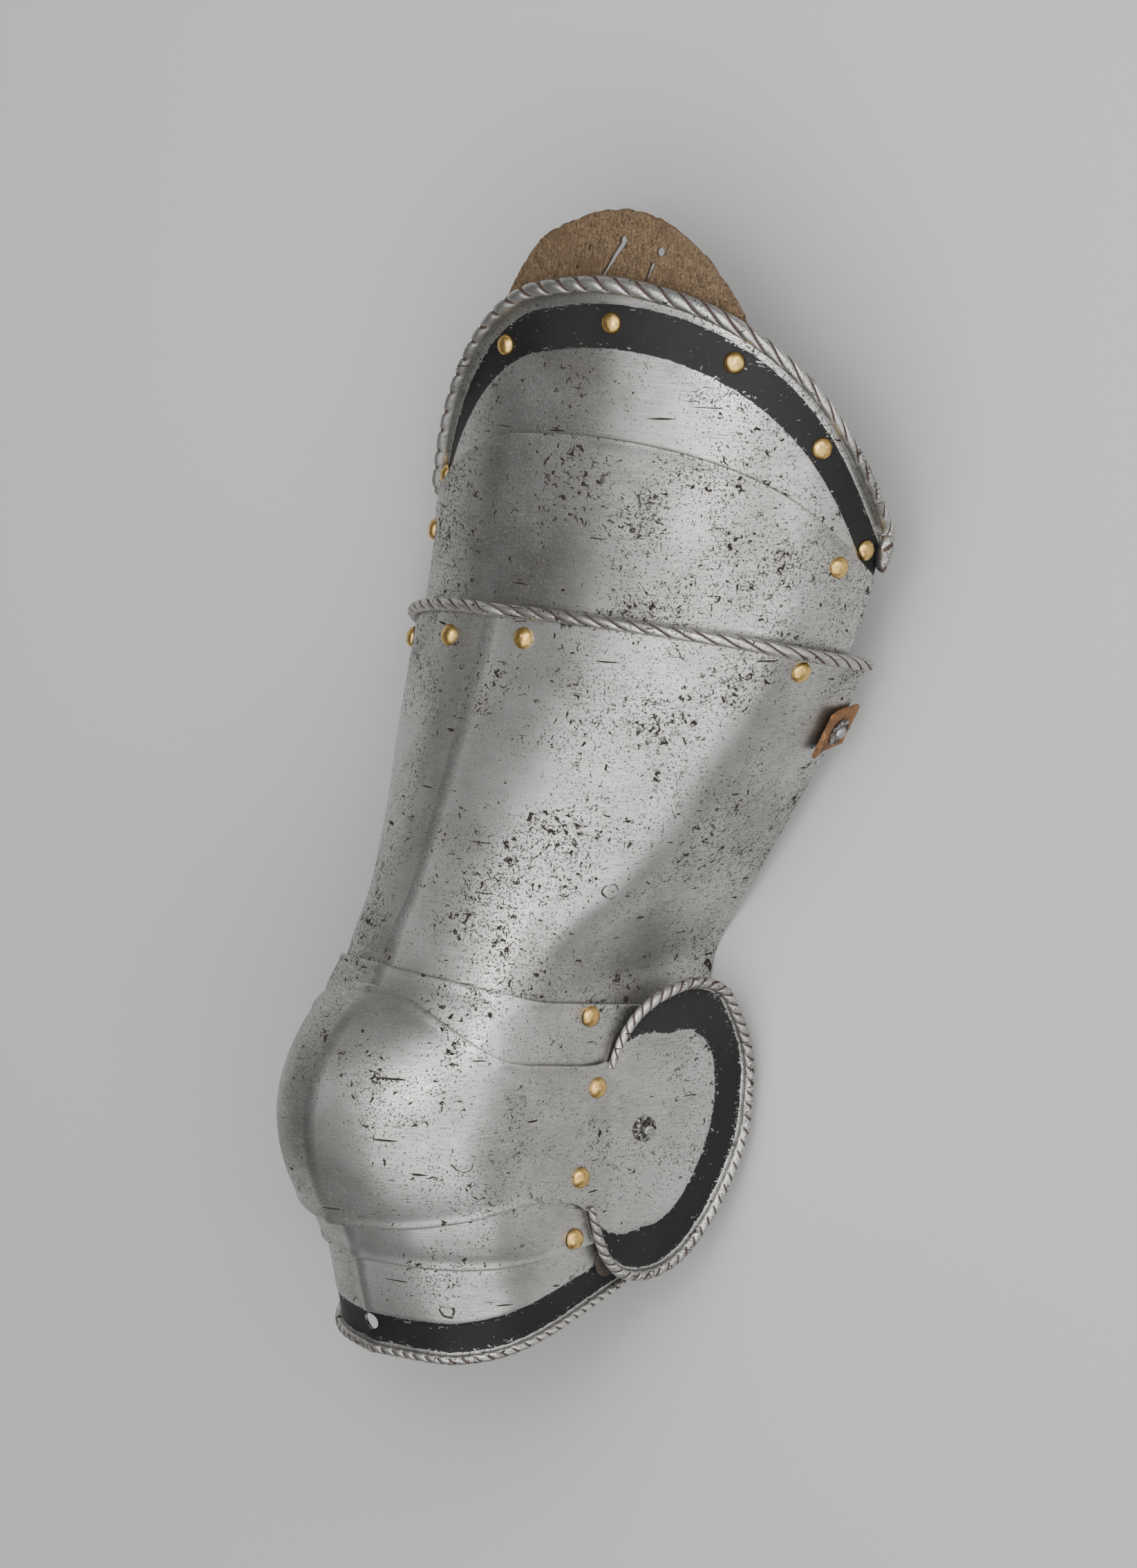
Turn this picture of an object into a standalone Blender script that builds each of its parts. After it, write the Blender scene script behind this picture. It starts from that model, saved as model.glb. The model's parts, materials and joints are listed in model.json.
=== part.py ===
"""A cuisse with poleyn for the left leg, lying on its back: thigh plates, knee cop with side wing, lames.

The forms are worked out in a leg frame in millimetres: x to the outer side of the leg, y up the leg and
z to its front, with the middle of the knee at the origin. An empty lays the whole leg down on the floor.
Plates that slide over each other are cut from drums, which are surfaces turned about a pivot's axis.
"""

import math

import bmesh
import bpy
import numpy as np
from mathutils import Matrix, Vector
from mathutils.bvhtree import BVHTree

MM = 0.001

# Sheet metal and fits
PLATE = 1.4
PLAY = 0.6
STEP = PLATE + PLAY
THIGH_STEP = PLATE + 1.0
SEAT = 0.3
SIDE_COLUMNS = 12
SQUARENESS = 2.2
RIDGE_RISE = 4.0
RIDGE_REACH = 16.0

# Pivots of the knee, as height and forward place in the side view
LAME_PIVOT = (52.5, -2.8)
COP_PIVOT = (19.5, -5.6)
LOWER_PIVOT = (-19.5, 5.6)
SHIN_PIVOT = (-47.6, 8.1)

# Knee drums, with -1 for the inner side and 1 for the outer side
KNEE_HALF_WIDTH = {-1: 52.0, 1: 64.0}
THIGH_DRUM = 61.5
THIGH_FLAT = {-1: 22.0, 1: 34.0}
LOWER_DRUM = 75.0
LOWER_FLAT = {-1: 34.0, 1: 36.0}

# Thigh
THIGH_TOP = 377.0
THIGH_HALF_WIDTH = 128.0
CREST_TURN = 17.0

# height is a share of THIGH_TOP, the others are shares of THIGH_HALF_WIDTH
THIGH_SECTIONS = (
    # height, centre_x, centre_z, outer, inner, front, rear
    (0.276, 0.023, -0.290, 0.660, 0.490, 0.640, 1.25),
    (0.292, 0.031, -0.320, 0.695, 0.520, 0.632, 1.17),
    (0.398, 0.062, -0.450, 0.840, 0.610, 0.660, 0.98),
    (0.504, 0.100, -0.540, 0.960, 0.680, 0.653, 0.86),
    (0.615, 0.133, -0.609, 1.040, 0.715, 0.638, 0.86),
    (0.743, 0.156, -0.672, 1.070, 0.710, 0.665, 0.86),
    (0.875, 0.172, -0.742, 1.070, 0.710, 0.680, 0.86),
    (1.000, 0.172, -0.805, 1.055, 0.703, 0.688, 0.86),
    (1.080, 0.172, -0.845, 1.040, 0.703, 0.690, 0.86),
)


def blend(first, second, share):
    return first + (second - first) * share


def through(places, values, at):
    """A smooth curve through the values, read at one place."""
    places = np.asarray(places, float)
    values = np.asarray(values, float)
    slopes = np.gradient(values, places)
    at = float(np.clip(at, places[0], places[-1]))
    k = int(np.clip(np.searchsorted(places, at) - 1, 0, len(places) - 2))
    span = places[k + 1] - places[k]
    s = (at - places[k]) / span
    rise = values[k + 1] - values[k]
    bend_in = slopes[k] * span - rise
    bend_out = rise - slopes[k + 1] * span
    return values[k] + rise * s + s * (1 - s) * (bend_in * (1 - s) + bend_out * s)


def power_cos(turn):
    return max(math.cos(turn), 0.0) ** (2 / SQUARENESS)


def power_sin(turn):
    return max(math.sin(turn), 0.0) ** (2 / SQUARENESS)


def ridge(x):
    """How far the pressed ridge stands above the plain section at this distance from it."""
    return RIDGE_RISE * math.exp(-abs(x) / RIDGE_REACH)


def both_sides(half):
    """A row of points from the inner end over the ridge to the outer end."""
    shares = np.linspace(0, 1, SIDE_COLUMNS + 1)
    inner = [half(-1, share) for share in shares[:0:-1]]
    outer = [half(1, share) for share in shares]
    return np.array(inner + outer)


def drum_row(pivot, angle, radius, flats, level, ends, turn_share):
    """A row on a drum: round over the front, then flat past the pivot to the end on each side."""
    slope = math.radians(angle)

    def half(side, share):
        flat, end, turned = flats[side], ends[side], turn_share[side]
        width = KNEE_HALF_WIDTH[side] + level
        if share > turned:
            way = (share - turned) / (1 - turned)
            y = blend(pivot[0] + flat * math.sin(slope), end[0], way)
            z = blend(pivot[1] + flat * math.cos(slope), end[1], way)
            return (side * width, y, z)
        turn = math.radians(90) * share / turned
        x = width * power_sin(turn)
        reach = flat + (radius + level - flat) * power_cos(turn) + ridge(x)
        return (side * x, pivot[0] + reach * math.sin(slope), pivot[1] + reach * math.cos(slope))

    return both_sides(half)


def section_at(height):
    """The thigh's section at a height: centre x and z, then its outer, inner, front and rear reach."""
    heights = [row[0] * THIGH_TOP for row in THIGH_SECTIONS]
    columns = list(zip(*THIGH_SECTIONS))[1:]
    return [THIGH_HALF_WIDTH * through(heights, column, height) for column in columns]


def thigh_point(turn, height, level):
    """A point of the thigh, level outside the main plate, at a turn from the front in degrees."""
    centre_x, centre_z, outer, inner, front, rear = section_at(height)
    angle = math.radians(turn)
    reach = outer if turn > 0 else inner
    x = math.copysign((reach + level) * power_sin(abs(angle)), turn)
    if abs(turn) <= 90:
        z = (front + level) * power_cos(angle) + (ridge(x) if level == 0 else 0.0)
    else:
        z = -(rear + level) * power_cos(math.pi - abs(angle))
    return (centre_x + x, height, centre_z + z)


def arch(peak, outer_drop, inner_drop, turn):
    """The height of an arched edge at a turn: peak over the crest, lower by a drop 60 degrees from it."""
    drop = outer_drop if turn > CREST_TURN else inner_drop
    return peak - drop * ((turn - CREST_TURN) / 60) ** 2


def thigh_row(edge, turns, level):
    """A row over the thigh along an arched line, from the inner turn to the outer turn."""

    def half(side, share):
        turn = side * share * turns[side]
        return thigh_point(turn, arch(*edge, turn), level)

    return both_sides(half)


def about_pivot(points, pivot):
    """Distance from the pivot's axis and turn up from straight ahead, for each point."""
    up = points[:, 1] - pivot[0]
    ahead = points[:, 2] - pivot[1]
    return np.hypot(up, ahead), np.arctan2(up, ahead)


def turned_row(points, pivot, turns):
    """The same points, each carried round the pivot's axis to a turn of its own."""
    reach, _ = about_pivot(points, pivot)
    return np.stack([points[:, 0], pivot[0] + reach * np.sin(turns), pivot[1] + reach * np.cos(turns)], 1)


def grown_row(points, pivot, gain):
    """The row moved out by gain, square to the drum that the row makes about the pivot."""
    reach, turns = about_pivot(points, pivot)
    along_x = np.gradient(points[:, 0])
    along_reach = np.gradient(reach)
    length = np.hypot(along_x, along_reach)
    grown = points.copy()
    grown[:, 0] -= gain * along_reach / length
    return turned_row_at(grown, pivot, reach + gain * along_x / length, turns)


def turned_row_at(points, pivot, reach, turns):
    return np.stack([points[:, 0], pivot[0] + reach * np.sin(turns), pivot[1] + reach * np.cos(turns)], 1)


def normals_of(grid):
    """Unit normals of a grid of rows, pointing away from the leg."""
    across = np.gradient(grid, axis=1)
    along = np.gradient(grid, axis=0)
    normals = np.cross(across, along)
    return normals / np.linalg.norm(normals, axis=2, keepdims=True)


def edge_arc(point, normal, outward, bead, wall, steps):
    """The rounded or turned edge of a plate, from its outer face round to its inner face."""
    outward = outward - normal * outward.dot(normal)
    outward /= np.linalg.norm(outward)
    height = bead - wall
    centre = point + normal * height
    start = math.pi + math.asin(np.clip(height / bead, -1, 1))
    turns = np.linspace(start, -math.pi / 2, steps + 1)
    return [centre + bead * (math.cos(turn) * outward + math.sin(turn) * normal) for turn in turns]


def plate_mesh(grid, bottom_bead=None, top_bead=None, wall=PLATE, steps=3):
    """A closed sheet with this outer face: its points and faces. A bead is an edge's radius by column."""
    plain = np.full(grid.shape[1], wall / 2)
    bottom_bead = plain if bottom_bead is None else bottom_bead
    top_bead = plain if top_bead is None else top_bead
    normals = normals_of(grid)
    loops = []
    for j in range(grid.shape[1]):
        outer, normal = grid[:, j], normals[:, j]
        inner = outer - normal * wall
        top = edge_arc(outer[-1], normal[-1], outer[-1] - outer[-2], top_bead[j], wall, steps)
        bottom = edge_arc(outer[0], normal[0], outer[0] - outer[1], bottom_bead[j], wall, steps)
        loops.append(list(outer[1:-1]) + top + list(inner[-2:0:-1]) + bottom[::-1])
    return loops_mesh(np.array(loops), len(grid) - 2, steps)


def loops_mesh(loops, rows, steps):
    """Faces between neighbouring loops, with each end closed from the outer face to the inner one."""
    count, size = loops.shape[:2]
    faces = []
    for j in range(count - 1):
        for k in range(size):
            after = (k + 1) % size
            faces.append((j * size + k, j * size + after, (j + 1) * size + after, (j + 1) * size + k))
    top_end = rows + steps
    for start, turn in ((0, 1), ((count - 1) * size, -1)):
        for k in range(rows - 1):
            inner = top_end + rows - k
            faces.append(tuple(start + i for i in (k, inner, inner - 1, k + 1))[::turn])
        top = [rows - 1, *range(rows, top_end + 2)]
        faces.append(tuple(start + i for i in top[::-1])[::turn])
        bottom = [top_end + rows, *range(top_end + rows + 1, size), 0]
        faces.append(tuple(start + i for i in bottom[::-1])[::turn])
    return loops.reshape(-1, 3), faces


def beads(columns, size, first=0):
    """Edge radii: size from one column on and a plain edge before it."""
    return np.where(np.arange(columns) >= first, size, PLATE / 2)


# Edges of the thigh plates: peak height of each arched line and its drops 60 degrees from the crest
FIRST_ARCH = np.array((112.0, 6.0, 6.0))
ROPE_EDGE = np.array((231.0, 12.0, 13.0))
SECOND_EDGE = np.array((309.0, 36.0, 39.0))
RIM_EDGE = np.array((374.0, 59.0, 76.0))
LEATHER_EDGE = np.array((405.0, 165.0, 165.0))
HIDDEN_LAP = np.array((22.0, 0.0, 0.0))
SECOND_ENDS = {-1: 58.0, 1: 96.0}
HIP_ENDS = {-1: 54.0, 1: 98.0}
LEATHER_ENDS = {-1: 24.0, 1: 54.0}

# Turned and roped edges
RIM_BEAD = 4.0
ROPE_BEAD = 3.0
WING_BEAD = 2.6
SHIN_BEAD = 2.3

# Knee: turns of the edges on their drums, in degrees, and ends in the side view
LAME_EDGE_TURN = 20.6
LAME_TOP_ENDS = {-1: (52.0, -20.0), 1: (50.0, -37.0)}
LAME_BOTTOM_ENDS = {-1: (8.0, -15.0), 1: (8.0, -16.0)}
COP_TOP_TURNS = (33.7, 21.5)
COP_TOP_SHARPNESS = 2.5
COP_BOTTOM_TURNS = (-9.0, -5.0)
COP_STAND_OFF = 7.0
COP_BULGE = (25.0, 6.0)
LOWER_EDGE_HEIGHT = -53.0
LOWER_TOP_TURN = 11.0


def cuisse_grid():
    """The main plate: five rows on the drum under the upper lame, then the thigh up to the rope."""
    rows = []
    turn_share = {-1: 0.6, 1: 0.45}
    for share in (0.0, 0.25, 0.5, 0.75, 1.0):
        ends = {
            -1: (blend(44.0, 66.0, share), blend(-20.0, -26.0, share)),
            1: (blend(44.0, 63.0, share), blend(-80.0, -87.0, share)),
        }
        turn = blend(-8.0, 25.5, share)
        rows.append(drum_row(LAME_PIVOT, turn, THIGH_DRUM, THIGH_FLAT, 0.0, ends, turn_share))
    for share in (0.0, 0.25, 0.5, 0.75, 1.0):
        ends = {-1: blend(87.0, 68.0, share), 1: blend(107.0, 106.0, share)}
        rows.append(thigh_row(blend(FIRST_ARCH, ROPE_EDGE, share), ends, 0))
    return np.array(rows)


def second_grid():
    rows = []
    for share in np.linspace(0, 1, 6):
        edge = blend(ROPE_EDGE - HIDDEN_LAP, SECOND_EDGE, share)
        rows.append(thigh_row(edge, SECOND_ENDS, -THIGH_STEP))
    return np.array(rows)


def hip_grid():
    rows = []
    for share in np.linspace(0, 1, 6):
        edge = blend(SECOND_EDGE - HIDDEN_LAP, RIM_EDGE, share)
        rows.append(thigh_row(edge, HIP_ENDS, -2 * THIGH_STEP))
    return np.array(rows)


def lame_columns(top, bottom_turn, pivot, bottom_ends, turn_share, rows):
    """A lame from its top row: arcs about the pivot over the front, straight columns past it at the sides."""
    reach, turns = about_pivot(top, pivot)
    places = side_shares()
    grid = []
    for share in np.linspace(0, 1, rows):
        row = turned_row_at(top, pivot, reach, blend(math.radians(bottom_turn), turns, share))
        for j, place in enumerate(places):
            side = 1 if place > 0 else -1
            turned = turn_share[side]
            if abs(place) <= turned:
                continue
            corner = corner_of(top, pivot, bottom_turn, places, side, turned)
            way = (abs(place) - turned) / (1 - turned)
            bottom = [blend(corner[k], bottom_ends[side][k], way) for k in (0, 1)]
            row[j, 1:] = [blend(bottom[k], top[j, k + 1], share) for k in (0, 1)]
        grid.append(row)
    return np.array(grid)


def side_shares():
    """The share of each column: -1 at the inner end, 0 on the ridge and 1 at the outer end."""
    return np.linspace(-1, 1, 2 * SIDE_COLUMNS + 1)


def corner_of(row, pivot, turn, places, side, turned):
    """Where the row's flat part starts, carried to a turn about the pivot, as height and forward place."""
    at = side * turned
    y = np.interp(at, places, row[:, 1])
    z = np.interp(at, places, row[:, 2])
    reach = math.hypot(y - pivot[0], z - pivot[1])
    slope = math.radians(turn)
    return (pivot[0] + reach * math.sin(slope), pivot[1] + reach * math.cos(slope))


KNEE_SHARES = {-1: 0.6, 1: 0.55}


def upper_lame_grid():
    """The lame that bridges the thigh and the knee cop: its top edge lies on the main plate's drum."""
    top = drum_row(
        LAME_PIVOT, LAME_EDGE_TURN, THIGH_DRUM, THIGH_FLAT, STEP, LAME_TOP_ENDS, KNEE_SHARES
    )
    return lame_columns(top, 12.0, COP_PIVOT, LAME_BOTTOM_ENDS, KNEE_SHARES, 5)


def round_shares():
    """How much of the round front each column still has: 1 on the ridge, 0 from the flat side on."""
    shares = []
    for place in side_shares():
        turned = KNEE_SHARES[1 if place > 0 else -1]
        shares.append(power_cos(math.radians(90) * min(abs(place) / turned, 1.0)))
    return np.array(shares)


def edge_turns(turns, sharpness):
    """The turn of an edge for each column: the first value on the ridge, the second at the sides."""
    return np.radians(blend(turns[1], turns[0], round_shares() ** sharpness))


COP_TOP_ENDS = {-1: (29.0, -16.0), 1: (27.0, -13.0)}
COP_BOTTOM_ENDS = {-1: (-31.0, -10.0), 1: (-31.0, 3.0)}


def side_line(row, ends, shares):
    """Straightens the row past the start of its flat part, to its end on each side."""
    places = side_shares()
    straight = row.copy()
    for side in (-1, 1):
        at = side * shares[side]
        corner = [np.interp(at, places, row[:, k]) for k in range(3)]
        for j, place in enumerate(places):
            if place * side > shares[side]:
                way = (abs(place) - shares[side]) / (1 - shares[side])
                straight[j] = [corner[0]] + [blend(corner[k + 1], ends[side][k], way) for k in (0, 1)]
    return straight


def cop_edges():
    """The knee cop's top row, on the upper lame's drum, and its bottom row, off the lower lame's drum."""
    lame = upper_lame_grid()
    top = turned_row(lame[-1], COP_PIVOT, edge_turns(COP_TOP_TURNS, COP_TOP_SHARPNESS))
    top = side_line(grown_row(top, COP_PIVOT, STEP), COP_TOP_ENDS, KNEE_SHARES)
    ends = {side: (LOWER_PIVOT[0], -20.0) for side in (-1, 1)}
    drum = drum_row(LOWER_PIVOT, 0.0, LOWER_DRUM, LOWER_FLAT, 2 * STEP, ends, KNEE_SHARES)
    reach, _ = about_pivot(drum, LOWER_PIVOT)
    reach = reach + COP_STAND_OFF * round_shares() ** 2
    bottom = turned_row_at(drum, LOWER_PIVOT, reach, edge_turns(COP_BOTTOM_TURNS, 1.0))
    return side_line(bottom, COP_BOTTOM_ENDS, KNEE_SHARES), top


# The wing's outline from its root over the top, as shares of its height: forward place and height
WING_HEIGHT = 131.0
WING_FLARE = 15.0
WING_ROOT = -12.0
WING_TOP_LINE = ((-0.10, 0.205), (-0.15, 0.30), (-0.22, 0.38), (-0.33, 0.435), (-0.45, 0.452),
                 (-0.545, 0.41), (-0.60, 0.31), (-0.64, 0.19), (-0.65, 0.10))
WING_BOTTOM_LINE = ((0.00, -0.26), (-0.03, -0.36), (-0.075, -0.46), (-0.15, -0.53), (-0.25, -0.55),
                    (-0.36, -0.515), (-0.47, -0.41), (-0.56, -0.27), (-0.62, -0.13), (-0.635, -0.07))


def outline_point(line, way):
    """A point of the wing's outline, its height and forward place, at a share of its way round."""
    places = [0.0]
    for first, second in zip(line, line[1:]):
        places.append(places[-1] + math.dist(first, second))
    places = np.array(places) / places[-1]
    forward = through(places, [point[0] for point in line], way)
    height = through(places, [point[1] for point in line], way)
    return (height * WING_HEIGHT, forward * WING_HEIGHT)


WING_COLUMNS = 10


def knee_cop_grid(rows=8):
    """The knee cop from its inner end over the point to the wing's rear edge."""
    bottom, top = cop_edges()
    past = [max(0.0, abs(place) / KNEE_SHARES[1 if place > 0 else -1] - 1) for place in side_shares()]
    bulge = blend(COP_BULGE[1], COP_BULGE[0], round_shares() ** 1.3) * (1 - np.minimum(past, 1.0))
    wing = [
        (outline_point(WING_BOTTOM_LINE, way), outline_point(WING_TOP_LINE, way))
        for way in np.linspace(0, 1, WING_COLUMNS + 1)[1:]
    ]
    line = (top - bottom)[:, 1:]
    square = np.stack([-line[:, 1], line[:, 0]], 1)
    square /= np.linalg.norm(square, axis=1, keepdims=True)
    side_x = KNEE_HALF_WIDTH[1] + 2 * STEP
    grid = []
    for share in np.linspace(0, 1, rows):
        chord = blend(bottom, top, share)
        chord[:, 1:] += square * (4 * share * (1 - share) * bulge)[:, None]
        row = [tuple(point) for point in chord]
        for low, high in wing:
            y, z = blend(low[0], high[0], share), blend(low[1], high[1], share)
            row.append((side_x + flare(z), y, z))
        grid.append(row)
    return np.array(grid)


def flare(z):
    """How far the wing stands out from the knee's side at this forward place."""
    back = max(0.0, WING_ROOT - z)
    return math.tan(math.radians(WING_FLARE)) * back * back / (back + 6.0)


LOWER_TOP_ENDS = {-1: (-10.0, -16.0), 1: (-9.0, -16.0)}
LOWER_BOTTOM_ENDS = {-1: (-52.0, -18.0), 1: (-52.0, -22.0)}


def lower_lame_grid():
    """The lame under the knee cop: a drum about its upper pivot down to a level bottom edge."""
    ends = {side: (LOWER_PIVOT[0], -18.0) for side in (-1, 1)}
    drum = drum_row(LOWER_PIVOT, 0.0, LOWER_DRUM, LOWER_FLAT, STEP, ends, KNEE_SHARES)
    reach, _ = about_pivot(drum, LOWER_PIVOT)
    low_turns = np.arcsin(np.clip((LOWER_EDGE_HEIGHT - LOWER_PIVOT[0]) / reach.clip(1), -0.93, 0))
    rows = []
    for share in np.linspace(0, 1, 6):
        turns = blend(low_turns, math.radians(LOWER_TOP_TURN), share)
        row = turned_row_at(drum, LOWER_PIVOT, reach, turns)
        ends = {side: tuple(blend(LOWER_BOTTOM_ENDS[side][k], LOWER_TOP_ENDS[side][k], share) for k in (0, 1))
                for side in (-1, 1)}
        rows.append(side_line(row, ends, KNEE_SHARES))
    return np.array(rows)


SHIN_LAP = 9.5
SHIN_DRUM_DEPTH = 15.0
SHIN_TOP_BACK = {-1: -18.0, 1: -24.0}
SHIN_LOW_BACK = {-1: -22.0, 1: -34.0}
SHIN_RIM_HEIGHT = -98.0
SHIN_RIM_RISE = 0.23
SHIN_RIM_FRONT = 62.5
SHIN_TAPER = 0.97
SHIN_FRONT_TAPER = 0.88


def shin_grid():
    """The bottom plate: a drum under the lower lame's edge, then nearly straight down to the rim."""
    places = side_shares()
    drum = grown_row(lower_lame_grid()[0], SHIN_PIVOT, -STEP)
    reach, _ = about_pivot(drum, SHIN_PIVOT)
    round_columns = [j for j, place in enumerate(places) if abs(place) <= KNEE_SHARES[1 if place > 0 else -1]]
    rows = []
    for share in np.linspace(0, 1, 5):
        drop = blend(-SHIN_DRUM_DEPTH, SHIN_LAP, share)
        ahead = SHIN_PIVOT[1] + np.sqrt((reach ** 2 - drop ** 2).clip(0))
        on_arc = ((reach - 12.0) / 20.0).clip(0, 1)
        z = blend(drum[:, 2], ahead, on_arc)
        for side in (-1, 1):
            corner = round_columns[0] if side < 0 else round_columns[-1]
            end = blend(SHIN_LOW_BACK[side], SHIN_TOP_BACK[side], share)
            last = abs(places[corner])
            for j, place in enumerate(places):
                if place * side > last:
                    z[j] = blend(z[corner], end, (abs(place) - last) / (1 - last))
        rows.append(drum_points(drum, reach, z, SHIN_PIVOT[0] + drop, round_columns))
    rim = rows[0].copy()
    back = (SHIN_RIM_FRONT - rim[:, 2]).clip(0)
    rim[:, 0] *= SHIN_TAPER
    rim[:, 1] = SHIN_RIM_HEIGHT + SHIN_RIM_RISE * back
    rim[:, 2] = SHIN_PIVOT[1] + (rim[:, 2] - SHIN_PIVOT[1]) * SHIN_FRONT_TAPER
    return np.array([rim, blend(rim, rows[0], 0.5)] + rows)


def drum_points(drum, reach, z, height, round_columns):
    """Points of the bottom plate's drum at these forward places: x follows from the reach."""
    at = np.hypot(z - SHIN_PIVOT[1], height - SHIN_PIVOT[0])
    middle = len(z) // 2
    x = np.empty(len(z))
    for side in (-1, 1):
        half = [j for j in round_columns if (j - middle) * side >= 0]
        half.sort(key=lambda j: reach[j])
        mine = np.arange(len(z))[:middle + 1] if side < 0 else np.arange(len(z))[middle:]
        ahead = np.where((z[mine] < SHIN_PIVOT[1]), 0.0, at[mine])
        x[mine] = np.interp(ahead, reach[half], drum[half, 0])
    return np.stack([x, np.full(len(z), height), z], 1)


# Rivets and washers
HEAD_RADIUS = 4.8
HEAD_HEIGHT = 3.2
SHANK_RADIUS = 2.0
HOLE_RADIUS = 2.4
BURR_RADIUS = 3.4
BURR_HEIGHT = 0.9
RIVET_SIDES = 8
HOLE_SIDES = 8
SEAT_REACH = 8.0

# Rivets of the thigh: turn from the front and how far below the edge of their plate, by name
LINING_RIVETS = ((-46.0, 13.0), (-10.0, 16.0), (16.5, 16.0), (45.5, 16.0), (72.0, 17.0), (93.0, 20.0))
HIP_PIVOTS = {"outer": (83.5, 10.0), "inner": (-49.0, 10.0)}
CUISSE_RIVETS = ((-52.0, 11.0), (-14.0, 13.0), (7.5, 11.0), (80.5, 8.5))
LEATHER_WALL = 2.6
LEATHER_DEPTH = 3 * THIGH_STEP
LEATHER_HOLES = ((9.5, 14.0, 1.2), (17.0, 12.0, 2.1), (26.0, 12.0, 2.1))


def thigh_frame(turn, edge, below, level):
    """A point on the thigh below an edge and the surface's outward normal there."""
    height = arch(*edge, turn) - below
    point = np.array(thigh_point(turn, height, level))
    along = np.array(thigh_point(turn + 2, height, level)) - np.array(thigh_point(turn - 2, height, level))
    up = np.array(thigh_point(turn, height + 2, level)) - np.array(thigh_point(turn, height - 2, level))
    normal = np.cross(along, up)
    return point, normal / np.linalg.norm(normal)


def lathe(profile, place, axis, sides=RIVET_SIDES):
    """A solid turned about an axis: the profile is radius and height, from its top round to its foot."""
    turn = Vector((0, 0, 1)).rotation_difference(Vector(axis)).to_matrix()
    points, rings = [], []
    for radius, height in profile:
        ring = []
        for k in range(sides if radius > 0 else 1):
            angle = 2 * math.pi * k / sides
            local = Vector((radius * math.cos(angle), radius * math.sin(angle), height))
            ring.append(len(points))
            points.append(np.array(turn @ local) + place)
        rings.append(ring)
    faces = []
    for upper, lower in zip(rings, rings[1:]):
        for k in range(sides):
            after = (k + 1) % sides
            face = [upper[k % len(upper)], lower[k % len(lower)], lower[after % len(lower)], upper[after % len(upper)]]
            faces.append(tuple(dict.fromkeys(face)))
    return np.array(points), faces


def ring_mesh(outer, inner, low, high, place, axis, sides=12):
    """A flat washer turned about an axis."""
    points, faces = lathe(((outer, high), (outer, low), (inner, low), (inner, high)), place, axis, sides)
    count = sides
    for k in range(sides):
        after = (k + 1) % sides
        faces.append((3 * count + k, 3 * count + after, after, k)[::-1])
    return points, faces


def seat_on(tree, place, normal, radius):
    """How far a disc of this radius stands out from the place, along the normal, when it lies on the plate."""
    up, back = local_axes(normal)
    heights = []
    for share in (0.0, 0.5, 1.0):
        for turn in np.linspace(0, 2 * math.pi, 13)[1:]:
            point = place + radius * share * (math.cos(turn) * up + math.sin(turn) * back)
            hit = tree.ray_cast(Vector(point + SEAT_REACH * normal), Vector(-normal))[0]
            if hit is not None:
                heights.append((np.array(hit) - place).dot(normal))
    return max(heights)


def rivet_mesh(place, normal, seat, foot, head=HEAD_RADIUS, tall=HEAD_HEIGHT):
    """A domed rivet: its head sits at one height along the normal, its burr holds at the other, below."""
    low, high = foot - SEAT, seat + SEAT
    profile = ((0, high + tall), (0.55 * head, high + 0.8 * tall), (head, high + 0.1 * tall), (head, high),
               (SHANK_RADIUS, high), (SHANK_RADIUS, low), (BURR_RADIUS, low),
               (BURR_RADIUS, low - BURR_HEIGHT), (0, low - BURR_HEIGHT))
    return lathe(profile, place, normal)


def all_grids():
    return {
        "hip_plate": hip_grid(),
        "second_plate": second_grid(),
        "cuisse_plate": cuisse_grid(),
        "upper_lame": upper_lame_grid(),
        "knee_cop": knee_cop_grid(),
        "lower_lame": lower_lame_grid(),
        "shin_plate": shin_grid(),
    }


# Strap end at the outer edge of the main plate
STRAP_PLACE = (103.0, 30.0)
STRAP_SIZE = (21.0, 25.0)
STRAP_WALL = 2.2
STRAP_OVERHANG = 12.0
WASHER_RADIUS = 6.6
WASHER_WALL = 1.2
STRAP_BOW = 1.5
STRAP_RIVET_HEAD = (3.2, 2.2)

# Wing washer and pin, and the leather washer at the outer end of the bottom plate
WING_PIN_PLACE = (-4.3, -31.5)
WING_WASHER_RADIUS = 5.8
PIN_RADIUS = 2.4
PIN_REACH = 5.0
SIDEWAYS = np.array((1.0, 0.0, 0.0))
ROSETTE_PLACE = (-64.0, -14.0)
ROSETTE_RADIUS = 6.5
ROSETTE_PROFILE = ((0, 2.0), (4.0, 2.0), (ROSETTE_RADIUS, 1.2), (ROSETTE_RADIUS, 0), (0, 0))
SHIN_HOLE_RADIUS = 4.0
SHIN_HOLE_BELOW = 85.5

# How the leg lies: its up direction seen from the floor, before it settles on three points
LYING_UP = (0.50, 0.215, 0.839)

COLOURS = {
    "steel": ((0.60, 0.60, 0.59, 1.0), 0.34, 1.0),
    "brass": ((0.72, 0.50, 0.20, 1.0), 0.30, 1.0),
    "leather": ((0.22, 0.13, 0.07, 1.0), 0.85, 0.0),
    "dark_leather": ((0.07, 0.05, 0.04, 1.0), 0.85, 0.0),
}

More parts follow.
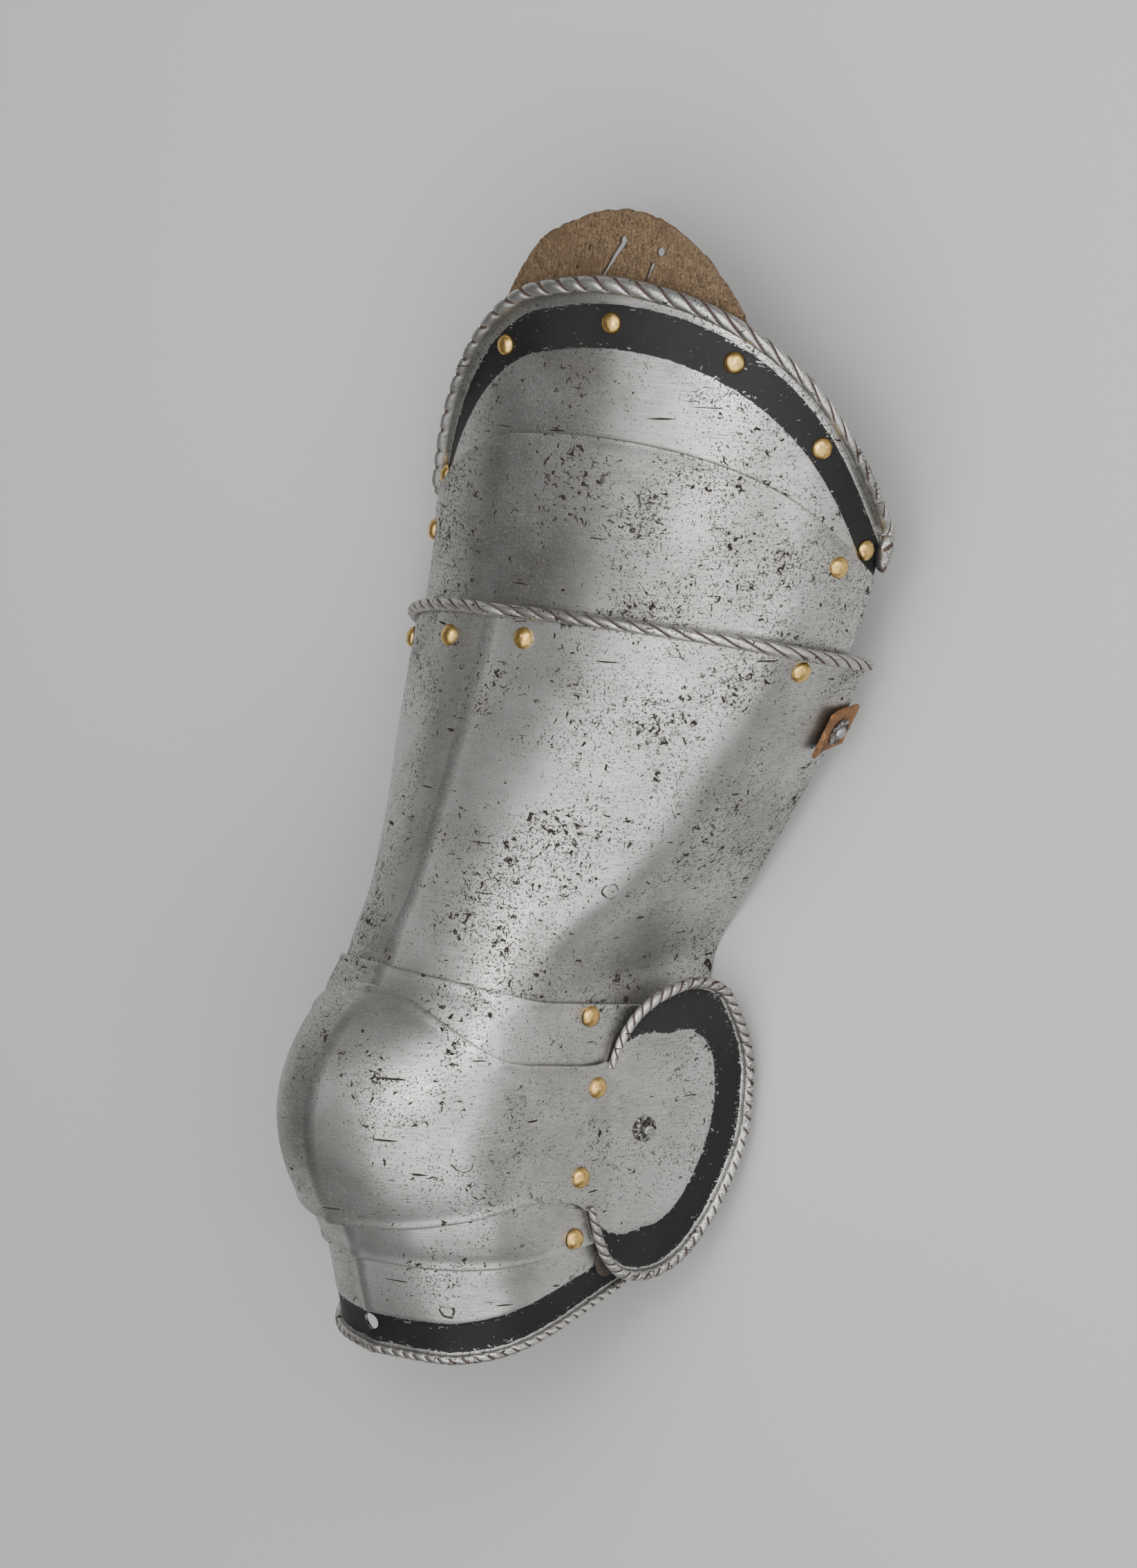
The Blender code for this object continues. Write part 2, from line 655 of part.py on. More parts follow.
PIVOTS = {"lame": LAME_PIVOT, "cop": COP_PIVOT, "lower": LOWER_PIVOT, "shin": SHIN_PIVOT}
PIVOT_LEVELS = {"lame": STEP, "cop": 2 * STEP, "lower": 2 * STEP, "shin": STEP}
PIVOT_BODIES = {"lame": "upper_lame", "cop": "knee_cop", "lower": "knee_cop", "shin": "lower_lame"}
PIVOT_PLATES = {
    "lame": ("upper_lame", "cuisse_plate"),
    "cop": ("knee_cop", "upper_lame"),
    "lower": ("knee_cop", "lower_lame"),
    "shin": ("lower_lame", "shin_plate"),
}
SIDES = {"outer": 1, "inner": -1}


def leather_mesh():
    """The hip leather: a sheet behind the hip plate's rim that stands up past it."""
    rows = [
        thigh_row(blend(RIM_EDGE - HIDDEN_LAP * 1.6, LEATHER_EDGE, share), LEATHER_ENDS, -LEATHER_DEPTH)
        for share in np.linspace(0, 1, 6)
    ]
    return plate_mesh(np.array(rows), wall=LEATHER_WALL)


def local_axes(normal):
    """Up along the leg and back across it, both square to the normal."""
    up = np.array((0.0, 1.0, 0.0)) - normal * normal[1]
    up /= np.linalg.norm(up)
    return up, np.cross(up, normal)


def strap_mesh(place, normal):
    """The torn strap end: a short leather slab, bowed a little, seated on the main plate."""
    up, back = local_axes(normal)
    height, length = STRAP_SIZE
    rows = []
    for v in np.linspace(-0.5, 0.5, 4):
        row = []
        for u in np.linspace(0, 1, 5):
            across = STRAP_OVERHANG - length * u
            lift = SEAT + STRAP_WALL + STRAP_BOW * max(0.0, across / STRAP_OVERHANG) ** 2
            row.append(place + up * v * height * (1 - 0.12 * u) - back * across + normal * lift)
        rows.append(row)
    return plate_mesh(np.array(rows), wall=STRAP_WALL)


def build_rivets(pieces, trees, holes):
    """Adds every rivet to the pieces and its hole to each plate that it goes through, outermost plate first."""

    def rivet(name, body, place, normal, plates):
        seat = seat_on(trees[plates[0]], place, normal, HEAD_RADIUS)
        foot = -seat_on(trees[plates[-1]], place, -normal, BURR_RADIUS)
        pieces[name] = (rivet_mesh(place, normal, seat, foot), body, "brass")
        for plate in plates:
            holes.setdefault(plate, []).append((place, normal, HOLE_RADIUS))

    for pivot, (y, z) in PIVOTS.items():
        for side, sign in SIDES.items():
            x = sign * (KNEE_HALF_WIDTH[sign] + PIVOT_LEVELS[pivot])
            place, normal = np.array((x, y, z)), np.array((sign, 0.0, 0.0))
            rivet(f"{pivot}_pivot_{side}", PIVOT_BODIES[pivot], place, normal, PIVOT_PLATES[pivot])
    for side, (turn, below) in HIP_PIVOTS.items():
        place, normal = thigh_frame(turn, SECOND_EDGE, below, -THIGH_STEP)
        rivet(f"hip_pivot_{side}", "cuisse", place, normal, ("second_plate", "hip_plate"))
    for k, (turn, below) in enumerate(CUISSE_RIVETS, 1):
        place, normal = thigh_frame(turn, ROPE_EDGE, below, 0)
        rivet(f"cuisse_rivet_{k}", "cuisse", place, normal, ("cuisse_plate", "second_plate"))
    for k, (turn, below) in enumerate(LINING_RIVETS, 1):
        place, normal = thigh_frame(turn, RIM_EDGE, below, -2 * THIGH_STEP)
        held = -LEATHER_ENDS[-1] < turn < LEATHER_ENDS[1]
        plates = ("hip_plate", "hip_leather") if held else ("hip_plate",)
        rivet(f"lining_rivet_{k}", "hip_plate", place, normal, plates)


def build_fittings(pieces, trees, holes):
    """Adds the strap end, the wing's washer and pin, and the bottom plate's leather washer."""
    turn, below = STRAP_PLACE
    place, normal = thigh_frame(turn, ROPE_EDGE, below, 0)
    seat = seat_on(trees["cuisse_plate"], place, normal, STRAP_SIZE[0] / 2)
    strap = strap_mesh(place + seat * normal, normal)
    pieces["strap_stub"] = (strap, "cuisse", "leather")
    low = seat_on(tree_of(strap), place, normal, WASHER_RADIUS) + SEAT
    high = low + WASHER_WALL
    pieces["strap_washer"] = (ring_mesh(WASHER_RADIUS, HOLE_RADIUS, low, high, place, normal), "cuisse", "steel")
    foot = -seat_on(trees["cuisse_plate"], place, -normal, BURR_RADIUS)
    pieces["strap_rivet"] = (rivet_mesh(place, normal, high, foot, *STRAP_RIVET_HEAD), "cuisse", "steel")
    for plate in ("strap_stub", "cuisse_plate"):
        holes.setdefault(plate, []).append((place, normal, HOLE_RADIUS))

    y, z = WING_PIN_PLACE
    place = np.array((KNEE_HALF_WIDTH[1] + 2 * STEP + flare(z), y, z))
    lean = flare(z - 0.5) - flare(z + 0.5)
    normal = np.array((1.0, 0.0, lean)) / math.hypot(1.0, lean)
    low = seat_on(trees["knee_cop"], place, normal, WING_WASHER_RADIUS) + SEAT
    washer = ring_mesh(WING_WASHER_RADIUS, PIN_RADIUS + SEAT, low, low + WASHER_WALL, place, normal)
    pieces["wing_washer"] = (washer, "knee_cop", "steel")
    foot = -seat_on(trees["knee_cop"], place, -normal, BURR_RADIUS) - SEAT
    pin = ((0, PIN_REACH), (PIN_RADIUS, PIN_REACH), (PIN_RADIUS, foot), (BURR_RADIUS, foot),
           (BURR_RADIUS, foot - BURR_HEIGHT), (0, foot - BURR_HEIGHT))
    pieces["wing_pin"] = (lathe(pin, place, normal, 12), "knee_cop", "steel")
    holes.setdefault("knee_cop", []).append((place, normal, PIN_RADIUS + SEAT))

    y, z = ROSETTE_PLACE
    place = np.array((KNEE_HALF_WIDTH[1], y, z))
    place[0] += seat_on(trees["shin_plate"], place, SIDEWAYS, ROSETTE_RADIUS) + SEAT
    pieces["shin_rosette"] = (lathe(ROSETTE_PROFILE, place, SIDEWAYS, 12), "shin_plate", "dark_leather")


def cutter_mesh(cuts):
    """Straight rods through every hole of one plate, as one mesh."""
    points, faces = [], []
    for place, normal, radius in cuts:
        rod = ((0, 9.0), (radius, 9.0), (radius, -9.0), (0, -9.0))
        rod_points, rod_faces = lathe(rod, place, normal, HOLE_SIDES)
        faces += [tuple(len(points) + i for i in face) for face in rod_faces]
        points += list(rod_points)
    return np.array(points), faces


# Bodies: parent body and the place of the joint's empty in the leg frame
BODIES = {
    "cuisse": (None, (0.0, 0.0, 0.0)),
    "hip_plate": ("cuisse", None),
    "upper_lame": ("cuisse", (0.0, *LAME_PIVOT)),
    "knee_cop": ("upper_lame", (0.0, *COP_PIVOT)),
    "lower_lame": ("knee_cop", (0.0, *LOWER_PIVOT)),
    "shin_plate": ("lower_lame", (0.0, *SHIN_PIVOT)),
}


def hip_axis():
    """The hip plate's two pivots, outer and inner, on the second plate's face."""
    return [thigh_frame(turn, SECOND_EDGE, below, -THIGH_STEP)[0] for turn, below in HIP_PIVOTS.values()]


def tree_of(mesh_data):
    return BVHTree.FromPolygons([Vector(point) for point in mesh_data[0]], mesh_data[1])


def all_pieces():
    """Every piece as its mesh, body and material, and the holes to cut in the plates."""
    grids = all_grids()
    pieces, holes = {}, {}
    columns = {name: grid.shape[1] for name, grid in grids.items()}
    rims = {
        "hip_plate": {"top_bead": beads(columns["hip_plate"], RIM_BEAD)},
        "cuisse_plate": {"top_bead": beads(columns["cuisse_plate"], ROPE_BEAD)},
        "knee_cop": {
            "top_bead": beads(columns["knee_cop"], WING_BEAD, columns["second_plate"] + 1),
            "bottom_bead": beads(columns["knee_cop"], WING_BEAD, columns["second_plate"] + 1),
        },
        "shin_plate": {"bottom_bead": beads(columns["shin_plate"], SHIN_BEAD)},
    }
    home = {"second_plate": "cuisse", "cuisse_plate": "cuisse"}
    for name, grid in grids.items():
        pieces[name] = (plate_mesh(grid, **rims.get(name, {})), home.get(name, name), "steel")
    pieces["hip_leather"] = (leather_mesh(), "hip_plate", "leather")
    trees = {name: tree_of(mesh_data) for name, (mesh_data, _, _) in pieces.items()}
    build_rivets(pieces, trees, holes)
    build_fittings(pieces, trees, holes)
    for turn, below, radius in LEATHER_HOLES:
        cut = (*thigh_frame(turn, LEATHER_EDGE, below, -LEATHER_DEPTH), radius)
        holes["hip_leather"].append(cut)
    hole_at = np.array((0.0, -SHIN_HOLE_BELOW, grids["shin_plate"][1][SIDE_COLUMNS][2]))
    holes["shin_plate"].append((hole_at, np.array((0.0, 0.0, 1.0)), SHIN_HOLE_RADIUS))
    return pieces, holes


def lying_down(points, masses):
    """The leg's rotation when it lies: a face of its hull that holds its weight, nearest to LYING_UP."""
    hull = bmesh.new()
    for point in points:
        hull.verts.new(point)
    bmesh.ops.convex_hull(hull, input=hull.verts)
    centre = Vector(np.average(points, axis=0, weights=masses))
    up = Vector(LYING_UP).normalized()
    best, best_lean = up, -1.0
    for face in hull.faces:
        down = face.normal
        foot = centre + down * (face.verts[0].co - centre).dot(down)
        corners = [vert.co for vert in face.verts]
        ends = corners[1:] + corners[:1]
        inside = all((end - start).cross(foot - start).dot(down) > 0 for start, end in zip(corners, ends))
        if inside and -down.dot(up) > best_lean:
            best, best_lean = -down, -down.dot(up)
    hull.free()
    along = (Vector((0, 1, 0)) - best * best.y).normalized()
    return Matrix((along.cross(best), along, best))


def make_material(name):
    colour, roughness, metallic = COLOURS[name]
    material = bpy.data.materials.new(name)
    material.use_nodes = True
    shader = material.node_tree.nodes["Principled BSDF"]
    shader.inputs["Base Color"].default_value = colour
    shader.inputs["Roughness"].default_value = roughness
    shader.inputs["Metallic"].default_value = metallic
    return material


def make_object(name, mesh_data, origin, parent, material=None):
    """A mesh object from points in millimetres, with its origin at a place of the leg frame."""
    points, faces = mesh_data
    mesh = bpy.data.meshes.new(name)
    mesh.from_pydata([tuple((point - origin) * MM) for point in points], [], faces)
    shape = bmesh.new()
    shape.from_mesh(mesh)
    bmesh.ops.recalc_face_normals(shape, faces=shape.faces)
    shape.to_mesh(mesh)
    shape.free()
    obj = bpy.data.objects.new(name, mesh)
    bpy.context.scene.collection.objects.link(obj)
    obj.parent = parent
    if material:
        mesh.materials.append(make_material(material))
    return obj


def make_joints(leg):
    """One empty for each body, on its joint's axis and under its parent body's empty."""
    empties, places = {}, {}
    for body, (parent, place) in BODIES.items():
        place = np.array(hip_axis()[0] if place is None else place)
        empty = bpy.data.objects.new(f"{body}_joint", None)
        bpy.context.scene.collection.objects.link(empty)
        empty.parent = empties[parent] if parent else leg
        empty.location = Vector((place - (places[parent] if parent else 0.0)) * MM)
        empties[body], places[body] = empty, place
    return empties, places


def main():
    for obj in list(bpy.data.objects):
        bpy.data.objects.remove(obj)
    pieces, holes = all_pieces()
    leg = bpy.data.objects.new("leg", None)
    bpy.context.scene.collection.objects.link(leg)
    empties, places = make_joints(leg)
    clouds = []
    for name, (mesh_data, body, material) in pieces.items():
        obj = make_object(name, mesh_data, places[body], empties[body], material)
        area = sum(polygon.area for polygon in obj.data.polygons)
        clouds.append((mesh_data[0], area / len(mesh_data[0])))
        if name not in holes:
            continue
        cutter = make_object(f"{name}_holes", cutter_mesh(holes[name]), places[body], empties[body])
        cutter.hide_render = True
        cutter.display_type = "WIRE"
        cut = obj.modifiers.new("holes", "BOOLEAN")
        cut.operation = "DIFFERENCE"
        cut.object = cutter
    points = np.concatenate([cloud for cloud, _ in clouds])
    masses = np.concatenate([np.full(len(cloud), mass) for cloud, mass in clouds])
    turn = lying_down(points, masses)
    laid = points @ np.array(turn).T * MM
    low, high = laid.min(axis=0), laid.max(axis=0)
    leg.rotation_euler = turn.to_euler()
    leg.location = (-(low[0] + high[0]) / 2, -(low[1] + high[1]) / 2, -low[2])


main()
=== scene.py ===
"""Looks of the cuisse with poleyn: fine plates, roped edges, black bands, rivets and leather."""
import json
import math

import bmesh
import bpy
import numpy as np
from mathutils import Matrix, Vector, noise
from mathutils.bvhtree import BVHTree

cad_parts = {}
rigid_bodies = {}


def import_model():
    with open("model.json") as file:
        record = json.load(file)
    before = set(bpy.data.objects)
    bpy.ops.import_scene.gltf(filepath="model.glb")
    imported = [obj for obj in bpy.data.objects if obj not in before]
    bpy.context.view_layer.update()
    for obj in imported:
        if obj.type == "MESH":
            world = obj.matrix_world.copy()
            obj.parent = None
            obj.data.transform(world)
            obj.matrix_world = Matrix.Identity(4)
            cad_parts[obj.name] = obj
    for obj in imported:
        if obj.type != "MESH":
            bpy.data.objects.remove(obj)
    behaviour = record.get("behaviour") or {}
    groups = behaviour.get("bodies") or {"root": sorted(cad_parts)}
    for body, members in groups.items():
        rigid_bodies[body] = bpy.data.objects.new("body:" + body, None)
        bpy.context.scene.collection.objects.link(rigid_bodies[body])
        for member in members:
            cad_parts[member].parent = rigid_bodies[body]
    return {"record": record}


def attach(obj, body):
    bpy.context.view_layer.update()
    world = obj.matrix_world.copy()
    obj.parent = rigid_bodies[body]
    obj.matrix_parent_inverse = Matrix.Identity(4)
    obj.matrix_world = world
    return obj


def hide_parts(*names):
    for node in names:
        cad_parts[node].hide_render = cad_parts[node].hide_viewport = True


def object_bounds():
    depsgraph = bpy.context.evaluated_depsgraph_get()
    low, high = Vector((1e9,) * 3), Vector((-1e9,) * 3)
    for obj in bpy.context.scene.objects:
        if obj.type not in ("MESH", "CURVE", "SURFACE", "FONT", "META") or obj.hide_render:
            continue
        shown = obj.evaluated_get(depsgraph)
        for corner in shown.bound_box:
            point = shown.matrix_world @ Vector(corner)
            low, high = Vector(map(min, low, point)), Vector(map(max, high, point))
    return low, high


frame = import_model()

CAD_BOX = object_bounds()

# The leg frame in millimetres, as in the CAD: x to the outer side, y up the leg, z to its front
MM = 0.001

# Sheet metal and fits
PLATE = 1.4
PLAY = 0.6
STEP = PLATE + PLAY
THIGH_STEP = PLATE + 1.0
SIDE_COLUMNS = 56
SQUARENESS = 2.2
RIDGE_RISE = 4.0
RIDGE_REACH = 16.0

# Pivots of the knee, as height and forward place in the side view
LAME_PIVOT = (52.5, -2.8)
COP_PIVOT = (19.5, -5.6)
LOWER_PIVOT = (-19.5, 5.6)
SHIN_PIVOT = (-47.6, 8.1)

# Knee drums, with -1 for the inner side and 1 for the outer side
KNEE_HALF_WIDTH = {-1: 52.0, 1: 64.0}
THIGH_DRUM = 61.5
THIGH_FLAT = {-1: 22.0, 1: 34.0}
LOWER_DRUM = 75.0
LOWER_FLAT = {-1: 34.0, 1: 36.0}

# Thigh
THIGH_TOP = 377.0
THIGH_HALF_WIDTH = 128.0
CREST_TURN = 17.0

# height is a share of THIGH_TOP, the others are shares of THIGH_HALF_WIDTH
THIGH_SECTIONS = (
    # height, centre_x, centre_z, outer, inner, front, rear
    (0.276, 0.023, -0.290, 0.660, 0.490, 0.640, 1.25),
    (0.292, 0.031, -0.320, 0.695, 0.520, 0.632, 1.17),
    (0.398, 0.062, -0.450, 0.840, 0.610, 0.660, 0.98),
    (0.504, 0.100, -0.540, 0.960, 0.680, 0.653, 0.86),
    (0.615, 0.133, -0.609, 1.040, 0.715, 0.638, 0.86),
    (0.743, 0.156, -0.672, 1.070, 0.710, 0.665, 0.86),
    (0.875, 0.172, -0.742, 1.070, 0.710, 0.680, 0.86),
    (1.000, 0.172, -0.805, 1.055, 0.703, 0.688, 0.86),
    (1.080, 0.172, -0.845, 1.040, 0.703, 0.690, 0.86),
)


def blend(first, second, share):
    return first + (second - first) * share


def through(places, values, at):
    """A smooth curve through the values, read at one place."""
    places = np.asarray(places, float)
    values = np.asarray(values, float)
    slopes = np.gradient(values, places)
    at = float(np.clip(at, places[0], places[-1]))
    k = int(np.clip(np.searchsorted(places, at) - 1, 0, len(places) - 2))
    span = places[k + 1] - places[k]
    s = (at - places[k]) / span
    rise = values[k + 1] - values[k]
    bend_in = slopes[k] * span - rise
    bend_out = rise - slopes[k + 1] * span
    return values[k] + rise * s + s * (1 - s) * (bend_in * (1 - s) + bend_out * s)


def power_cos(turn):
    return max(math.cos(turn), 0.0) ** (2 / SQUARENESS)


def power_sin(turn):
    return max(math.sin(turn), 0.0) ** (2 / SQUARENESS)


def ridge(x):
    """How far the pressed ridge stands above the plain section at this distance from it."""
    return RIDGE_RISE * math.exp(-abs(x) / RIDGE_REACH)


def both_sides(half):
    """A row of points from the inner end over the ridge to the outer end."""
    shares = np.linspace(0, 1, SIDE_COLUMNS + 1)
    inner = [half(-1, share) for share in shares[:0:-1]]
    outer = [half(1, share) for share in shares]
    return np.array(inner + outer)


def drum_row(pivot, angle, radius, flats, level, ends, turn_share):
    """A row on a drum: round over the front, then flat past the pivot to the end on each side."""
    slope = math.radians(angle)

    def half(side, share):
        flat, end, turned = flats[side], ends[side], turn_share[side]
        width = KNEE_HALF_WIDTH[side] + level
        if share > turned:
            way = (share - turned) / (1 - turned)
            y = blend(pivot[0] + flat * math.sin(slope), end[0], way)
            z = blend(pivot[1] + flat * math.cos(slope), end[1], way)
            return (side * width, y, z)
        turn = math.radians(90) * share / turned
        x = width * power_sin(turn)
        reach = flat + (radius + level - flat) * power_cos(turn) + ridge(x)
        return (side * x, pivot[0] + reach * math.sin(slope), pivot[1] + reach * math.cos(slope))

    return both_sides(half)


def section_at(height):
    """The thigh's section at a height: centre x and z, then its outer, inner, front and rear reach."""
    heights = [row[0] * THIGH_TOP for row in THIGH_SECTIONS]
    columns = list(zip(*THIGH_SECTIONS))[1:]
    return [THIGH_HALF_WIDTH * through(heights, column, height) for column in columns]


def thigh_point(turn, height, level):
    """A point of the thigh, level outside the main plate, at a turn from the front in degrees."""
    centre_x, centre_z, outer, inner, front, rear = section_at(height)
    angle = math.radians(turn)
    reach = outer if turn > 0 else inner
    x = math.copysign((reach + level) * power_sin(abs(angle)), turn)
    if abs(turn) <= 90:
        z = (front + level) * power_cos(angle) + (ridge(x) if level == 0 else 0.0)
    else:
        z = -(rear + level) * power_cos(math.pi - abs(angle))
    return (centre_x + x, height, centre_z + z)


def arch(peak, outer_drop, inner_drop, turn):
    """The height of an arched edge at a turn: peak over the crest, lower by a drop 60 degrees from it."""
    drop = outer_drop if turn > CREST_TURN else inner_drop
    return peak - drop * ((turn - CREST_TURN) / 60) ** 2


def thigh_row(edge, turns, level):
    """A row over the thigh along an arched line, from the inner turn to the outer turn."""

    def half(side, share):
        turn = side * share * turns[side]
        return thigh_point(turn, arch(*edge, turn), level)

    return both_sides(half)


def about_pivot(points, pivot):
    """Distance from the pivot's axis and turn up from straight ahead, for each point."""
    up = points[:, 1] - pivot[0]
    ahead = points[:, 2] - pivot[1]
    return np.hypot(up, ahead), np.arctan2(up, ahead)


def turned_row(points, pivot, turns):
    """The same points, each carried round the pivot's axis to a turn of its own."""
    reach, _ = about_pivot(points, pivot)
    return turned_row_at(points, pivot, reach, turns)


def grown_row(points, pivot, gain):
    """The row moved out by gain, square to the drum that the row makes about the pivot."""
    reach, turns = about_pivot(points, pivot)
    along_x = np.gradient(points[:, 0])
    along_reach = np.gradient(reach)
    length = np.hypot(along_x, along_reach)
    grown = points.copy()
    grown[:, 0] -= gain * along_reach / length
    return turned_row_at(grown, pivot, reach + gain * along_x / length, turns)


def turned_row_at(points, pivot, reach, turns):
    return np.stack([points[:, 0], pivot[0] + reach * np.sin(turns), pivot[1] + reach * np.cos(turns)], 1)


def normals_of(grid):
    """Unit normals of a grid of rows, pointing away from the leg."""
    across = np.gradient(grid, axis=1)
    along = np.gradient(grid, axis=0)
    normals = np.cross(across, along)
    return normals / np.linalg.norm(normals, axis=2, keepdims=True)


EDGE_STEPS = 5


def edge_arc(point, normal, outward, wall):
    """The rounded edge of a plate, from its outer face round to its inner face."""
    outward = outward - normal * outward.dot(normal)
    outward /= np.linalg.norm(outward)
    centre = point - normal * wall / 2
    turns = np.linspace(math.pi / 2, -math.pi / 2, EDGE_STEPS + 1)
    return [centre + wall / 2 * (math.cos(turn) * outward + math.sin(turn) * normal) for turn in turns]


def loops_mesh(loops, rows, steps):
    """Faces between neighbouring loops, with each end closed from the outer face to the inner one."""
    count, size = loops.shape[:2]
    faces = []
    for j in range(count - 1):
        for k in range(size):
            after = (k + 1) % size
            faces.append((j * size + k, j * size + after, (j + 1) * size + after, (j + 1) * size + k))
    top_end = rows + steps
    for start, turn in ((0, 1), ((count - 1) * size, -1)):
        for k in range(rows - 1):
            inner = top_end + rows - k
            faces.append(tuple(start + i for i in (k, inner, inner - 1, k + 1))[::turn])
        top = [rows - 1, *range(rows, top_end + 2)]
        faces.append(tuple(start + i for i in top[::-1])[::turn])
        bottom = [top_end + rows, *range(top_end + rows + 1, size), 0]
        faces.append(tuple(start + i for i in bottom[::-1])[::turn])
    return loops.reshape(-1, 3), faces


# Edges of the thigh plates: peak height of each arched line and its drops 60 degrees from the crest
FIRST_ARCH = np.array((112.0, 6.0, 6.0))
ROPE_EDGE = np.array((231.0, 12.0, 13.0))
SECOND_EDGE = np.array((309.0, 36.0, 39.0))
RIM_EDGE = np.array((374.0, 59.0, 76.0))
LEATHER_EDGE = np.array((405.0, 165.0, 165.0))
HIDDEN_LAP = np.array((22.0, 0.0, 0.0))
SECOND_ENDS = {-1: 58.0, 1: 96.0}
HIP_ENDS = {-1: 54.0, 1: 98.0}
LEATHER_ENDS = {-1: 24.0, 1: 54.0}

# Knee: turns of the edges on their drums, in degrees, and ends in the side view
LAME_EDGE_TURN = 20.6
LAME_TOP_ENDS = {-1: (52.0, -20.0), 1: (50.0, -37.0)}
LAME_BOTTOM_ENDS = {-1: (8.0, -15.0), 1: (8.0, -16.0)}
COP_TOP_TURNS = (33.7, 21.5)
COP_TOP_SHARPNESS = 2.5
COP_BOTTOM_TURNS = (-9.0, -5.0)
COP_STAND_OFF = 7.0
COP_BULGE = (25.0, 6.0)
LOWER_EDGE_HEIGHT = -53.0
LOWER_TOP_TURN = 11.0


def cuisse_grid():
    """The main plate: five rows on the drum under the upper lame, then the thigh up to the rope."""
    rows = []
    turn_share = {-1: 0.6, 1: 0.45}
    for share in (0.0, 0.25, 0.5, 0.75, 1.0):
        ends = {
            -1: (blend(44.0, 66.0, share), blend(-20.0, -26.0, share)),
            1: (blend(44.0, 63.0, share), blend(-80.0, -87.0, share)),
        }
        turn = blend(-8.0, 25.5, share)
        rows.append(drum_row(LAME_PIVOT, turn, THIGH_DRUM, THIGH_FLAT, 0.0, ends, turn_share))
    for share in (0.0, 0.25, 0.5, 0.75, 1.0):
        ends = {-1: blend(87.0, 68.0, share), 1: blend(107.0, 106.0, share)}
        rows.append(thigh_row(blend(FIRST_ARCH, ROPE_EDGE, share), ends, 0))
    return np.array(rows)


def thigh_grid(low, high, ends, level, rows=6):
    """A plate of the thigh between two arched lines."""
    return np.array([thigh_row(blend(low, high, share), ends, level) for share in np.linspace(0, 1, rows)])


def second_grid():
    return thigh_grid(ROPE_EDGE - HIDDEN_LAP, SECOND_EDGE, SECOND_ENDS, -THIGH_STEP)


def hip_grid():
    return thigh_grid(SECOND_EDGE - HIDDEN_LAP, RIM_EDGE, HIP_ENDS, -2 * THIGH_STEP)


def lame_columns(top, bottom_turn, pivot, bottom_ends, turn_share, rows):
    """A lame from its top row: arcs about the pivot over the front, straight columns past it at the sides."""
    reach, turns = about_pivot(top, pivot)
    places = side_shares()
    grid = []
    for share in np.linspace(0, 1, rows):
        row = turned_row_at(top, pivot, reach, blend(math.radians(bottom_turn), turns, share))
        for j, place in enumerate(places):
            side = 1 if place > 0 else -1
            turned = turn_share[side]
            if abs(place) <= turned:
                continue
            corner = corner_of(top, pivot, bottom_turn, places, side, turned)
            way = (abs(place) - turned) / (1 - turned)
            bottom = [blend(corner[k], bottom_ends[side][k], way) for k in (0, 1)]
            row[j, 1:] = [blend(bottom[k], top[j, k + 1], share) for k in (0, 1)]
        grid.append(row)
    return np.array(grid)


def side_shares():
    """The share of each column: -1 at the inner end, 0 on the ridge and 1 at the outer end."""
    return np.linspace(-1, 1, 2 * SIDE_COLUMNS + 1)


def corner_of(row, pivot, turn, places, side, turned):
    """Where the row's flat part starts, carried to a turn about the pivot, as height and forward place."""
    at = side * turned
    y = np.interp(at, places, row[:, 1])
    z = np.interp(at, places, row[:, 2])
    reach = math.hypot(y - pivot[0], z - pivot[1])
    slope = math.radians(turn)
    return (pivot[0] + reach * math.sin(slope), pivot[1] + reach * math.cos(slope))


KNEE_SHARES = {-1: 0.6, 1: 0.55}


def upper_lame_grid():
    """The lame that bridges the thigh and the knee cop: its top edge lies on the main plate's drum."""
    top = drum_row(
        LAME_PIVOT, LAME_EDGE_TURN, THIGH_DRUM, THIGH_FLAT, STEP, LAME_TOP_ENDS, KNEE_SHARES
    )
    return lame_columns(top, 12.0, COP_PIVOT, LAME_BOTTOM_ENDS, KNEE_SHARES, 5)


def round_shares():
    """How much of the round front each column still has: 1 on the ridge, 0 from the flat side on."""
    shares = []
    for place in side_shares():
        turned = KNEE_SHARES[1 if place > 0 else -1]
        shares.append(power_cos(math.radians(90) * min(abs(place) / turned, 1.0)))
    return np.array(shares)


def edge_turns(turns, sharpness):
    """The turn of an edge for each column: the first value on the ridge, the second at the sides."""
    return np.radians(blend(turns[1], turns[0], round_shares() ** sharpness))


COP_TOP_ENDS = {-1: (29.0, -16.0), 1: (27.0, -13.0)}
COP_BOTTOM_ENDS = {-1: (-31.0, -10.0), 1: (-31.0, 3.0)}


def side_line(row, ends, shares):
    """Straightens the row past the start of its flat part, to its end on each side."""
    places = side_shares()
    straight = row.copy()
    for side in (-1, 1):
        at = side * shares[side]
        corner = [np.interp(at, places, row[:, k]) for k in range(3)]
        for j, place in enumerate(places):
            if place * side > shares[side]:
                way = (abs(place) - shares[side]) / (1 - shares[side])
                straight[j] = [corner[0]] + [blend(corner[k + 1], ends[side][k], way) for k in (0, 1)]
    return straight


